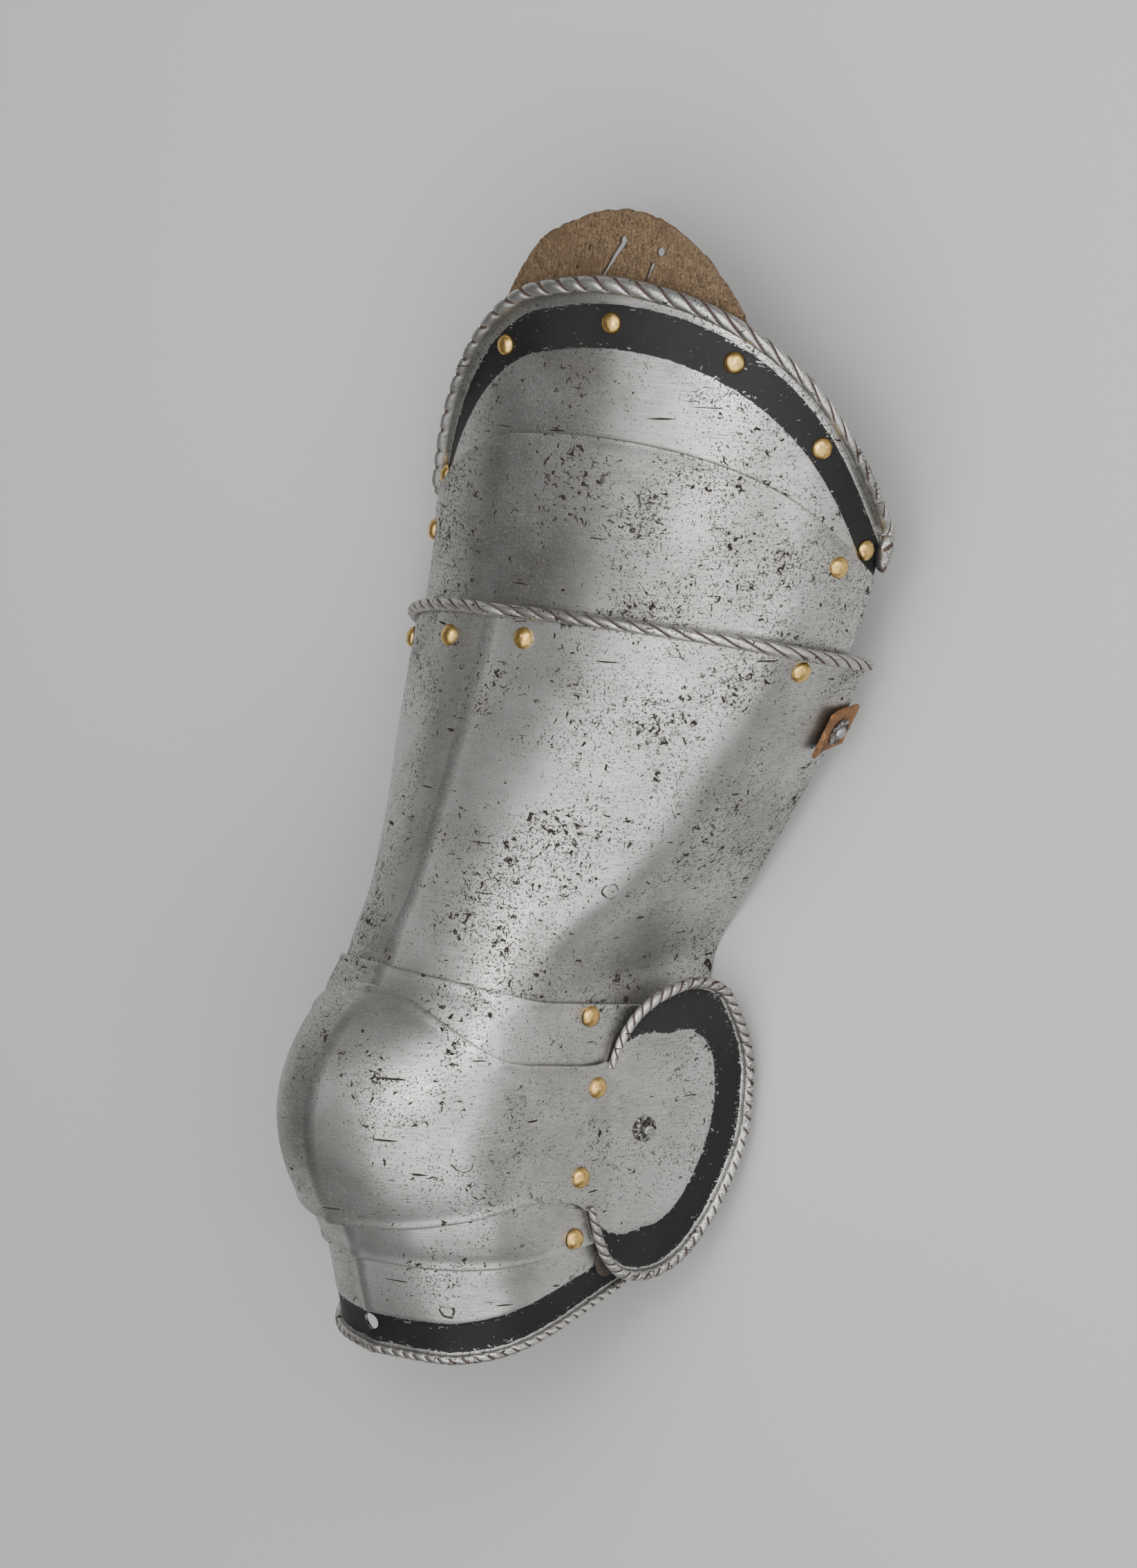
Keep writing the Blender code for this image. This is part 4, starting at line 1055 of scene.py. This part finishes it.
def brass_material():
    material, tree, shader = new_material("brass_worn")
    coords = node(tree, "TexCoord").outputs["Object"]
    cloud = noise_field(tree, coords, 420.0, 4.0, 0.6)
    grain = noise_field(tree, coords, 2200.0, 2.0)
    colour = colour_mix(tree, cloud.step(0.42, 0.72), BRASS_BRIGHT, BRASS_DULL)
    connect(tree, shader, (0.25, 0.0003, cloud + grain), base_color=colour, roughness=cloud * 0.22 + 0.20)
    shader.inputs["Metallic"].default_value = 1.0
    return material


def leather_material(name, dark, light, streak):
    """Old, dry leather: brown with paler worn grain and dark streaks."""
    material, tree, shader = new_material(name)
    coords = node(tree, "TexCoord").outputs["Object"]
    cloud = noise_field(tree, coords, 38.0, 5.0, 0.65)
    grain = noise_field(tree, coords, 900.0, 4.0, 0.75)
    fibre = noise_field(tree, stretched(tree, coords, (900, 240, 500), (0, 0, 0.3)), 1.0, 3.0, 0.7)
    worn = (grain * 0.7 + fibre * 0.5).step(0.40, 0.88)
    colour = colour_mix(tree, worn, (*dark, 1), (*light, 1))
    colour = colour_mix(tree, cloud.step(0.50, 0.68), colour, (*streak, 1))
    connect(tree, shader, (0.55, 0.0009, grain * 0.7 + fibre * 0.6), base_color=colour)
    shader.inputs["Roughness"].default_value = 0.86
    return material


HIP_STEEL = steel_material("steel_hip", (0.10, 0.30, 0.0), 0.10, 0.02)
SECOND_STEEL = steel_material("steel_second", (0.47, 0.12, 0.2), 0.10, 0.035)
CUISSE_STEEL = steel_material("steel_cuisse", (0.93, 0.55, 0.1), -0.35, 0.02)
KNEE_STEEL = steel_material("steel_knee", (1.35, 0.21, 0.4), 0.05, 0.0)
LOW_STEEL = steel_material("steel_low", (1.72, 0.83, 0.6), 0.12, -0.01)
DARK_STEEL = steel_material("steel_dark", (2.6, 0.1, 0.7), 0.3, 0.12, banded=False)
ROPE_STEEL = steel_material("steel_rope", (2.2, 0.4, 0.3), 0.3, 0.0, banded=False)
BRASS = brass_material()
LEATHER = leather_material("leather_old", (0.04, 0.022, 0.011), (0.24, 0.16, 0.085), (0.09, 0.052, 0.026))
STRAP_LEATHER = leather_material("leather_strap", (0.11, 0.05, 0.02), (0.36, 0.17, 0.06), (0.06, 0.03, 0.015))
DARK_LEATHER = leather_material(
    "leather_dark", (0.02, 0.015, 0.012), (0.07, 0.055, 0.045), (0.035, 0.025, 0.02)
)


# Plates

def below_edge(grid, edge, turns):
    """How far each point of a thigh plate lies below its arched edge, along the leg."""
    places = np.abs(side_shares())
    signs = np.sign(side_shares())
    angle = np.array([sign * share * turns[int(sign) or 1] for sign, share in zip(signs, places)])
    top = np.array([arch(*edge, turn) for turn in angle])
    return top[None, :] - grid[:, :, 1]


def inside(distance, limits):
    """Positive within the limits, and how far."""
    return np.minimum(distance - limits[0], limits[1] - distance)


PLAIN_PLATES = (
    # node, its grid, rows, lips along the lower and the upper edge, body, material, seed
    ("second_plate", second_grid(), 60, (False, True), "cuisse", SECOND_STEEL, 2),
    ("cuisse_plate", cuisse_grid(), 90, (False, False), "cuisse", CUISSE_STEEL, 3),
    ("upper_lame", upper_lame_grid(), 40, (False, True), "upper_lame", KNEE_STEEL, 4),
    ("lower_lame", lower_lame_grid(), 50, (True, False), "lower_lame", LOW_STEEL, 6),
)
HIP_ROWS = 70
COP_ROWS = 90
SHIN_ROWS = 60

grid = softened(refined(hip_grid(), HIP_ROWS))
band = inside(below_edge(grid, RIM_EDGE, HIP_ENDS), HIP_BAND)
plate("hip_plate", grid, "hip_plate", HIP_STEEL, 1, band)
for name, grid, rows, lips, body, material, seed in PLAIN_PLATES:
    plate(name, lipped(softened(refined(grid, rows)), *lips), body, material, seed)
rope("hip_rope", "hip_plate", *round_corner(GRIDS["hip_plate"]))
edge_rope("cuisse_rope", "cuisse", GRIDS["cuisse_plate"], True)


# Knee cop with its wing

def wing_outline():
    """The wing's outline from its upper root round to its lower root, as height and forward place."""
    top = [outline_point(WING_TOP_LINE, way) for way in np.linspace(0, 1, 60)]
    low = [outline_point(WING_BOTTOM_LINE, way) for way in np.linspace(1, 0, 60)]
    return np.array(top + low)


def beside(points, line):
    """For each point, its distance to a dense line, and the way from there to the line's nearer end."""
    starts = line[:-1]
    along = line[1:] - starts
    reach = points[:, None, :] - starts[None]
    share = np.clip((reach * along).sum(2) / (along * along).sum(1), 0, 1)
    away = np.linalg.norm(reach - share[:, :, None] * along[None], axis=2)
    nearest = away.argmin(axis=1)
    run = run_along(line)
    place = run[nearest]
    return away.min(axis=1), np.minimum(place, run[-1] - place)


OUTLINE = wing_outline()
grid = knee_cop_grid(COP_ROWS)
knee = slice(0, len(side_shares()))
grid[:, knee] = lipped(softened(grid), True, True)[:, knee]
flat = grid.reshape(-1, 3)
far, from_end = (column.reshape(grid.shape[:2]) for column in beside(flat[:, 1:], OUTLINE))
even = far.copy()
for _ in range(WING_BAND_ROUNDING):
    even[1:-1] += 0.25 * (even[2:] - 2 * even[1:-1] + even[:-2])
    even[:, 1:-1] += 0.25 * (even[:, 2:] - 2 * even[:, 1:-1] + even[:, :-2])
width = WING_BAND[1] * smooth_step(0, WING_BAND_FULL, from_end)
band = np.minimum(far - WING_BAND[0], width - even)
plate("knee_cop", grid, "knee_cop", KNEE_STEEL, 5, band)
path = np.array([wing_point(y, z) for y, z in OUTLINE])
lean = unit(np.array([wing_normal(z) for _, z in OUTLINE]))
run = np.gradient(path, axis=0)
rope("wing_rope", "knee_cop", path, lean, np.cross(lean, run), WING_ROPE_TAPER)


# Bottom plate
grid = softened(refined(shin_grid(), SHIN_ROWS))
shin = plate("shin_plate", grid, "shin_plate", LOW_STEEL, 7, inside(up_columns(grid), SHIN_BAND))
edge_rope("shin_rope", "shin_plate", GRIDS["shin_plate"], False)


# Seats and turned solids

def local_axes(normal):
    """Up along the leg and back across it, both square to the normal."""
    up = np.array((0.0, 1.0, 0.0)) - normal * normal[1]
    up /= np.linalg.norm(up)
    return up, np.cross(up, normal)


def surface_tree(grid):
    """A search tree of a fine plate's outer face."""
    rows, columns = grid.shape[:2]
    faces = []
    for i in range(rows - 1):
        for j in range(columns - 1):
            k = i * columns + j
            faces.append((k, k + 1, k + columns + 1, k + columns))
    return BVHTree.FromPolygons([Vector(point) for point in grid.reshape(-1, 3)], faces)


TREES = {name: surface_tree(grid) for name, grid in GRIDS.items()}


def seat_on(tree, place, normal, radius):
    """How far a disc of this radius stands out from the place when it lies on the plate."""
    up, back = local_axes(normal)
    heights = []
    for share in (0.0, 0.5, 1.0):
        for turn in np.linspace(0, 2 * math.pi, 13)[1:]:
            point = place + radius * share * (math.cos(turn) * up + math.sin(turn) * back)
            hit = tree.ray_cast(Vector(point + SEAT_REACH * normal), Vector(-normal))[0]
            if hit is not None:
                heights.append((np.array(hit) - place).dot(normal))
    return max(heights)


def lathed(profile, place, axis, sides=28, dent=0.0, seed=0.0):
    """A solid turned about an axis from a profile of radius and height, with shallow dents."""
    up, back = local_axes(axis)
    points, rings = [], []
    for radius, height in profile:
        ring = []
        for k in range(sides if radius > 0 else 1):
            turn = 2 * math.pi * k / sides
            point = place + radius * (math.cos(turn) * back + math.sin(turn) * up) + height * axis
            if dent:
                point = point + axis * dent * noise.noise(Vector(point) / 1.9 + Vector((seed, 0, 0)))
            ring.append(len(points))
            points.append(point)
        rings.append(ring)
    faces = []
    for upper, lower in zip(rings, rings[1:]):
        for k in range(sides):
            after = (k + 1) % sides
            corners = ((upper, k), (lower, k), (lower, after), (upper, after))
            faces.append(tuple(dict.fromkeys(ring[at % len(ring)] for ring, at in corners)))
    return np.array(points), faces


def ring_of(outer, inner, low, high, place, axis, wave, sides=40):
    """A washer: a ring with rounded edges, a little uneven."""
    soft = min(0.3, (high - low) / 3)
    profile = ((inner, low), (inner, high - soft), (inner + soft, high), (outer - soft, high),
               (outer, high - soft), (outer, low + soft), (outer - soft, low), (inner + soft, low))
    points, faces = lathed(profile, place, axis, sides, wave, 3.0)
    last = (len(profile) - 1) * sides
    faces += [(last + k, k, (k + 1) % sides, last + (k + 1) % sides) for k in range(sides)]
    return points, faces


def dome(radius, height, foot, seat):
    """Profile of a domed head that sits at seat, with its shank and the burr at foot."""
    rings = []
    for turn in np.radians(np.linspace(90, 4, 12)):
        reach = radius * math.cos(turn) ** DOME_POWER if turn < 1.57 else 0.0
        rings.append((reach, seat + height * math.sin(turn)))
    rings += [(radius, seat), (SHANK_RADIUS, seat), (SHANK_RADIUS, foot), (BURR_RADIUS, foot)]
    rings += [(BURR_RADIUS, foot - 0.5 * BURR_HEIGHT), (0.6 * BURR_RADIUS, foot - BURR_HEIGHT)]
    return (*rings, (0, foot - BURR_HEIGHT))


def rivet(node_name, body, place, normal, plate_names, depth):
    """A domed brass rivet that sits on the outermost of its plates."""
    seat = seat_on(TREES[plate_names[0]], place, normal, HEAD_RADIUS * 0.8) + HEAD_GAP
    seed = 0.37 * sum(map(ord, node_name))
    profile = dome(HEAD_RADIUS, HEAD_HEIGHT, seat - depth, seat)
    fitting(node_name, lathed(profile, place, normal, 30, 0.20, seed), BRASS, body, "brass", 50.0)


def thigh_frame(turn, edge, below, level):
    """A point on the thigh below an edge and the surface's outward normal there."""
    height = arch(*edge, turn) - below
    point = np.array(thigh_point(turn, height, level))
    along = np.array(thigh_point(turn + 2, height, level)) - np.array(thigh_point(turn - 2, height, level))
    up = np.array(thigh_point(turn, height + 2, level)) - np.array(thigh_point(turn, height - 2, level))
    normal = np.cross(along, up)
    return point, normal / np.linalg.norm(normal)


for pivot, (y, z) in PIVOTS.items():
    for side, sign in SIDES.items():
        x = sign * (KNEE_HALF_WIDTH[sign] + PIVOT_LEVELS[pivot])
        sideways = np.array((sign, 0.0, 0.0))
        place = np.array((x, y, z))
        depth = STEP + PLATE + SPARE
        rivet(f"{pivot}_pivot_{side}", PIVOT_BODIES[pivot], place, sideways, PIVOT_PLATES[pivot], depth)
for side, (turn, below) in HIP_PIVOTS.items():
    place, normal = thigh_frame(turn, SECOND_EDGE, below, -THIGH_STEP)
    rivet(f"hip_pivot_{side}", "cuisse", place, normal, ("second_plate",), THIGH_STEP + PLATE + SPARE)
for k, (turn, below) in enumerate(CUISSE_RIVETS, 1):
    place, normal = thigh_frame(turn, ROPE_EDGE, below, 0)
    rivet(f"cuisse_rivet_{k}", "cuisse", place, normal, ("cuisse_plate",), THIGH_STEP + PLATE + 3 * SPARE)
for k, (turn, below) in enumerate(LINING_RIVETS, 1):
    place, normal = thigh_frame(turn, RIM_EDGE, below, -2 * THIGH_STEP)
    held = -LEATHER_ENDS[-1] < turn < LEATHER_ENDS[1]
    depth = PLATE + 2 * SPARE + (THIGH_STEP - PLATE + LEATHER_WALL if held else 0.0)
    rivet(f"lining_rivet_{k}", "hip_plate", place, normal, ("hip_plate",), depth)


# Strap end, its washer and its rivet
def strap_points(place, normal):
    """The torn strap end as a fine sheet, bowed a little, with an uneven edge."""
    up, back = local_axes(normal)
    height, length = STRAP_SIZE
    rows = []
    for v in np.linspace(-0.5, 0.5, 26):
        row = []
        for u in np.linspace(0, 1, 30):
            ragged = 0.8 * noise.noise(Vector((v * 6, u * 2, 1.0)))
            across = STRAP_OVERHANG - length * u + ragged * (2 * abs(u - 0.5)) ** 2
            lift = 0.3 + STRAP_WALL + STRAP_BOW * max(0.0, across / STRAP_OVERHANG) ** 2
            lift += 0.35 * noise.noise(Vector((v * 5, u * 5, 2.0)))
            tall = v * height * (1 - 0.12 * u) * (1 + 0.05 * noise.noise(Vector((u * 4, 3.0, v))))
            row.append(place + up * tall - back * across + normal * lift)
        rows.append(row)
    return np.array(rows)


turn, below = STRAP_PLACE
place, normal = thigh_frame(turn, ROPE_EDGE, below, 0)
seat = seat_on(TREES["cuisse_plate"], place, normal, STRAP_SIZE[0] / 2)
strap = strap_points(place + seat * normal, normal)
fitting("strap_stub", plate_loops(strap, STRAP_WALL), STRAP_LEATHER, "cuisse", "leather")
low = seat_on(surface_tree(strap), place, normal, WASHER_RADIUS) + WASHER_GAP
shape = ring_of(WASHER_RADIUS, WASHER_HOLE, low, low + WASHER_WALL, place, normal, 0.25)
fitting("strap_washer", shape, DARK_STEEL, "cuisse", "steel")
profile = dome(STRAP_RIVET_HEAD, STRAP_RIVET_HEIGHT, -PLATE - 0.4, low + WASHER_WALL)
fitting("strap_rivet", lathed(profile, place, normal, 26, 0.25, 5.0), ROPE_STEEL, "cuisse", "steel", 50.0)


# Wing washer and pin
place = np.array(wing_point(*WING_PIN_PLACE))
normal = np.array(wing_normal(WING_PIN_PLACE[1]))
normal /= np.linalg.norm(normal)
low = seat_on(TREES["knee_cop"], place, normal, WING_WASHER_RADIUS) + WING_WASHER_GAP
shape = ring_of(WING_WASHER_RADIUS, PIN_RADIUS + 0.25, low, low + WASHER_WALL, place, normal, 0.15)
fitting("wing_washer", shape, DARK_STEEL, "knee_cop", "steel")
foot = -PLATE - SPARE
pin = ((0, PIN_REACH), (0.8 * PIN_RADIUS, PIN_REACH), (PIN_RADIUS, PIN_REACH - 0.4), (PIN_RADIUS, foot),
       (BURR_RADIUS, foot), (BURR_RADIUS, foot - 0.7), (0.6 * BURR_RADIUS, foot - 1.0), (0, foot - 1.0))
fitting("wing_pin", lathed(pin, place, normal, 28, 0.12, 9.0), ROPE_STEEL, "knee_cop", "steel", 40.0)

# Leather washer at the outer end of the bottom plate
y, z = ROSETTE_PLACE
place = np.array((KNEE_HALF_WIDTH[1], y, z))
sideways = np.array((1.0, 0.0, 0.0))
place[0] += seat_on(TREES["shin_plate"], place, sideways, ROSETTE_RADIUS) + ROSETTE_GAP
rosette = ((0, 2.0), (2.6, 2.1), (4.6, 1.8), (6.0, 1.5), (ROSETTE_RADIUS, 1.0), (ROSETTE_RADIUS, 0.2),
           (5.6, 0.0), (0, 0.0))
shape = lathed(rosette, place, sideways, 36, 0.5, 2.0)
fitting("shin_rosette", shape, DARK_LEATHER, "shin_plate", "dark_leather", 60.0)


# Cuts: real holes and slits
def cut(obj, solids):
    """Cuts solids, given as points and faces in the leg frame, out of the object's mesh."""
    points, faces = [], []
    for solid_points, solid_faces in solids:
        faces += [tuple(len(points) + i for i in face) for face in solid_faces]
        points += list(solid_points)
    cutter = mesh_object("cutter", np.array(points), faces, BRASS)
    cutter.parent = obj.parent
    bpy.context.view_layer.update()
    cutter.matrix_world = obj.matrix_world.copy()
    modifier = obj.modifiers.new("cut", "BOOLEAN")
    modifier.operation = "DIFFERENCE"
    modifier.object = cutter
    modifier.use_self = True
    evaluated = obj.evaluated_get(bpy.context.evaluated_depsgraph_get())
    cut_mesh = bpy.data.meshes.new_from_object(evaluated)
    obj.modifiers.clear()
    obj.data = cut_mesh
    bpy.data.objects.remove(cutter)


ROD_REACH = 8.0


def rod(place, axis, radius, sides=28):
    profile = ((0, ROD_REACH), (radius, ROD_REACH), (radius, -ROD_REACH), (0, -ROD_REACH))
    return lathed(profile, place, axis, sides)


front = np.array((0.0, 0.0, 1.0))
middle = GRIDS["shin_plate"][:, len(side_shares()) // 2]
hole_z = float(np.interp(-SHIN_HOLE_BELOW, middle[:, 1], middle[:, 2]))
cut(shin, [rod(np.array((0.0, -SHIN_HOLE_BELOW, hole_z)), front, SHIN_HOLE_RADIUS, 40)])


# Leather tab
LEATHER_HOLES = ((9.5, 14.0, 1.2), (7.0, 21.0, 0.9), (17.0, 12.0, 2.1), (26.0, 12.0, 2.1))
LEATHER_ROWS = 60
LEATHER_GRAIN = ((0.42, 9.0), (0.22, 3.0), (0.14, 1.3))
LEATHER_SLITS = (((17.0, 13.0), (11.0, 33.0), 1.7), ((24.5, 18.0), (22.5, 30.0), 1.2))


def leather_grid():
    """The leather tab, grained all over and frayed towards its upper edge."""
    low = RIM_EDGE - HIDDEN_LAP * 1.6
    grid = thigh_grid(low, LEATHER_EDGE, LEATHER_ENDS, -LEATHER_DEPTH, LEATHER_ROWS)
    normals = normals_of(grid)
    for i in range(grid.shape[0]):
        for j in range(grid.shape[1]):
            point = Vector(grid[i, j])
            rise = sum(height * noise.noise(point / size) for height, size in LEATHER_GRAIN)
            grid[i, j] += normals[i, j] * rise
            if i > 0.6 * LEATHER_ROWS:
                fray = 0.9 * noise.noise(point / 5.0) + 0.5 * noise.noise(point / 1.6)
                grid[i, j, 1] += fray * (i / LEATHER_ROWS - 0.6) / 0.4
    return grid


def leather_frame(turn, below):
    return thigh_frame(turn, LEATHER_EDGE, below, -LEATHER_DEPTH)


def slit(start, end, width):
    """A narrow cut through the leather between two places, each a turn and a distance below its edge."""
    first, normal = leather_frame(*start)
    last = leather_frame(*end)[0]
    side = np.cross(normal, last - first)
    side /= np.linalg.norm(side)
    corners = []
    for depth in (-6.0, 6.0):
        for point, half in ((first, width), (0.5 * (first + last), 0.7 * width), (last, 0.15 * width)):
            corners += [point + side * half + normal * depth, point - side * half + normal * depth]
    low = [0, 2, 4, 5, 3, 1]
    faces = [tuple(low), tuple(6 + i for i in low[::-1])]
    for a, b in zip(low, low[1:] + low[:1]):
        faces.append((b, a, a + 6, b + 6))
    return np.array(corners), faces


shape = plate_loops(leather_grid(), LEATHER_WALL)
leather = fitting("hip_leather", shape, LEATHER, "hip_plate", "leather", 70.0)
holes = [rod(*leather_frame(turn, below), radius) for turn, below, radius in LEATHER_HOLES]
cut(leather, holes + [slit(*line) for line in LEATHER_SLITS])


# Floor, light and camera
TO_CAMERA = (0.6692, 0.2336, 0.7054)
IMAGE_UP = (-0.1575, 0.9723, -0.1726)
TARGET = (16.5, 142.5, -42.1)
CAMERA_DISTANCE = 2.6
LENS = 133.6
SENSOR = 36.0
WORLD_COLOUR = (0.5, 0.5, 0.51, 1)
WORLD_STRENGTH = 0.26
FLOOR_COLOUR = (0.47, 0.47, 0.465, 1)
FLOOR_REACH = 6.0
FLOOR_GAP = 0.0003


def direction(leg_vector):
    turned = np.asarray(leg_vector, float) @ AXES
    return Vector(turned / np.linalg.norm(turned))


toward = direction(TO_CAMERA)
up = direction(IMAGE_UP)
right = up.cross(toward).normalized()
up = toward.cross(right)
target = Vector(in_row(TARGET))


def facing(obj, place, look_at, up_hint):
    """Puts a camera or lamp at a place, looking at a point, with its top towards the hint."""
    back = (Vector(place) - Vector(look_at)).normalized()
    side = Vector(up_hint).cross(back).normalized()
    top = back.cross(side)
    obj.matrix_world = Matrix(((side.x, top.x, back.x, place[0]), (side.y, top.y, back.y, place[1]),
                               (side.z, top.z, back.z, place[2]), (0, 0, 0, 1)))


camera = bpy.data.objects.new("camera", bpy.data.cameras.new("camera"))
bpy.context.scene.collection.objects.link(camera)
camera.data.sensor_fit = "VERTICAL"
camera.data.sensor_height = SENSOR
camera.data.lens = LENS
camera.data.clip_end = 20.0
facing(camera, target + toward * CAMERA_DISTANCE, target, up)
bpy.context.scene.camera = camera

# name, place as metres toward the camera, up and right from the target, size, watts
LAMPS = (
    ("left_front", (1.18, 0.05, -0.58), (1.1, 1.6), 12.0),
    ("front_top", (1.17, 0.75, 0.15), (1.2, 0.6), 6.0),
    ("low_front", (0.90, -0.95, -0.10), (1.9, 0.9), 9.0),
    ("right_fill", (1.08, -0.05, 0.52), (1.0, 1.7), 8.5),
    ("far_right", (0.60, -0.05, 1.20), (0.5, 1.5), 2.5),
    ("small_key", (1.24, 0.15, -0.26), (0.35, 0.35), 3.0),
)
for name, (ahead, high, aside), size, watts in LAMPS:
    data = bpy.data.lights.new(name, "AREA")
    data.shape = "RECTANGLE"
    data.size, data.size_y = size
    data.energy = watts
    lamp = bpy.data.objects.new(name, data)
    bpy.context.scene.collection.objects.link(lamp)
    facing(lamp, target + toward * ahead + up * high + right * aside, target, up)

world = bpy.data.worlds.new("studio")
bpy.context.scene.world = world
world.use_nodes = True
world.node_tree.nodes["Background"].inputs["Color"].default_value = WORLD_COLOUR
world.node_tree.nodes["Background"].inputs["Strength"].default_value = WORLD_STRENGTH

floor_material, tree, shader = new_material("floor_pale")
shader.inputs["Base Color"].default_value = FLOOR_COLOUR
shader.inputs["Roughness"].default_value = 0.85
mesh = bpy.data.meshes.new("floor")
reach = FLOOR_REACH
corners = [(-reach, -reach, 0), (reach, -reach, 0), (reach, reach, 0), (-reach, reach, 0)]
mesh.from_pydata(corners, [], [(0, 1, 2, 3)])
mesh.materials.append(floor_material)
floor = bpy.data.objects.new("floor", mesh)
bpy.context.scene.collection.objects.link(floor)
floor.location.z = CAD_BOX[0][2] - FLOOR_GAP

bpy.context.view_layer.update()
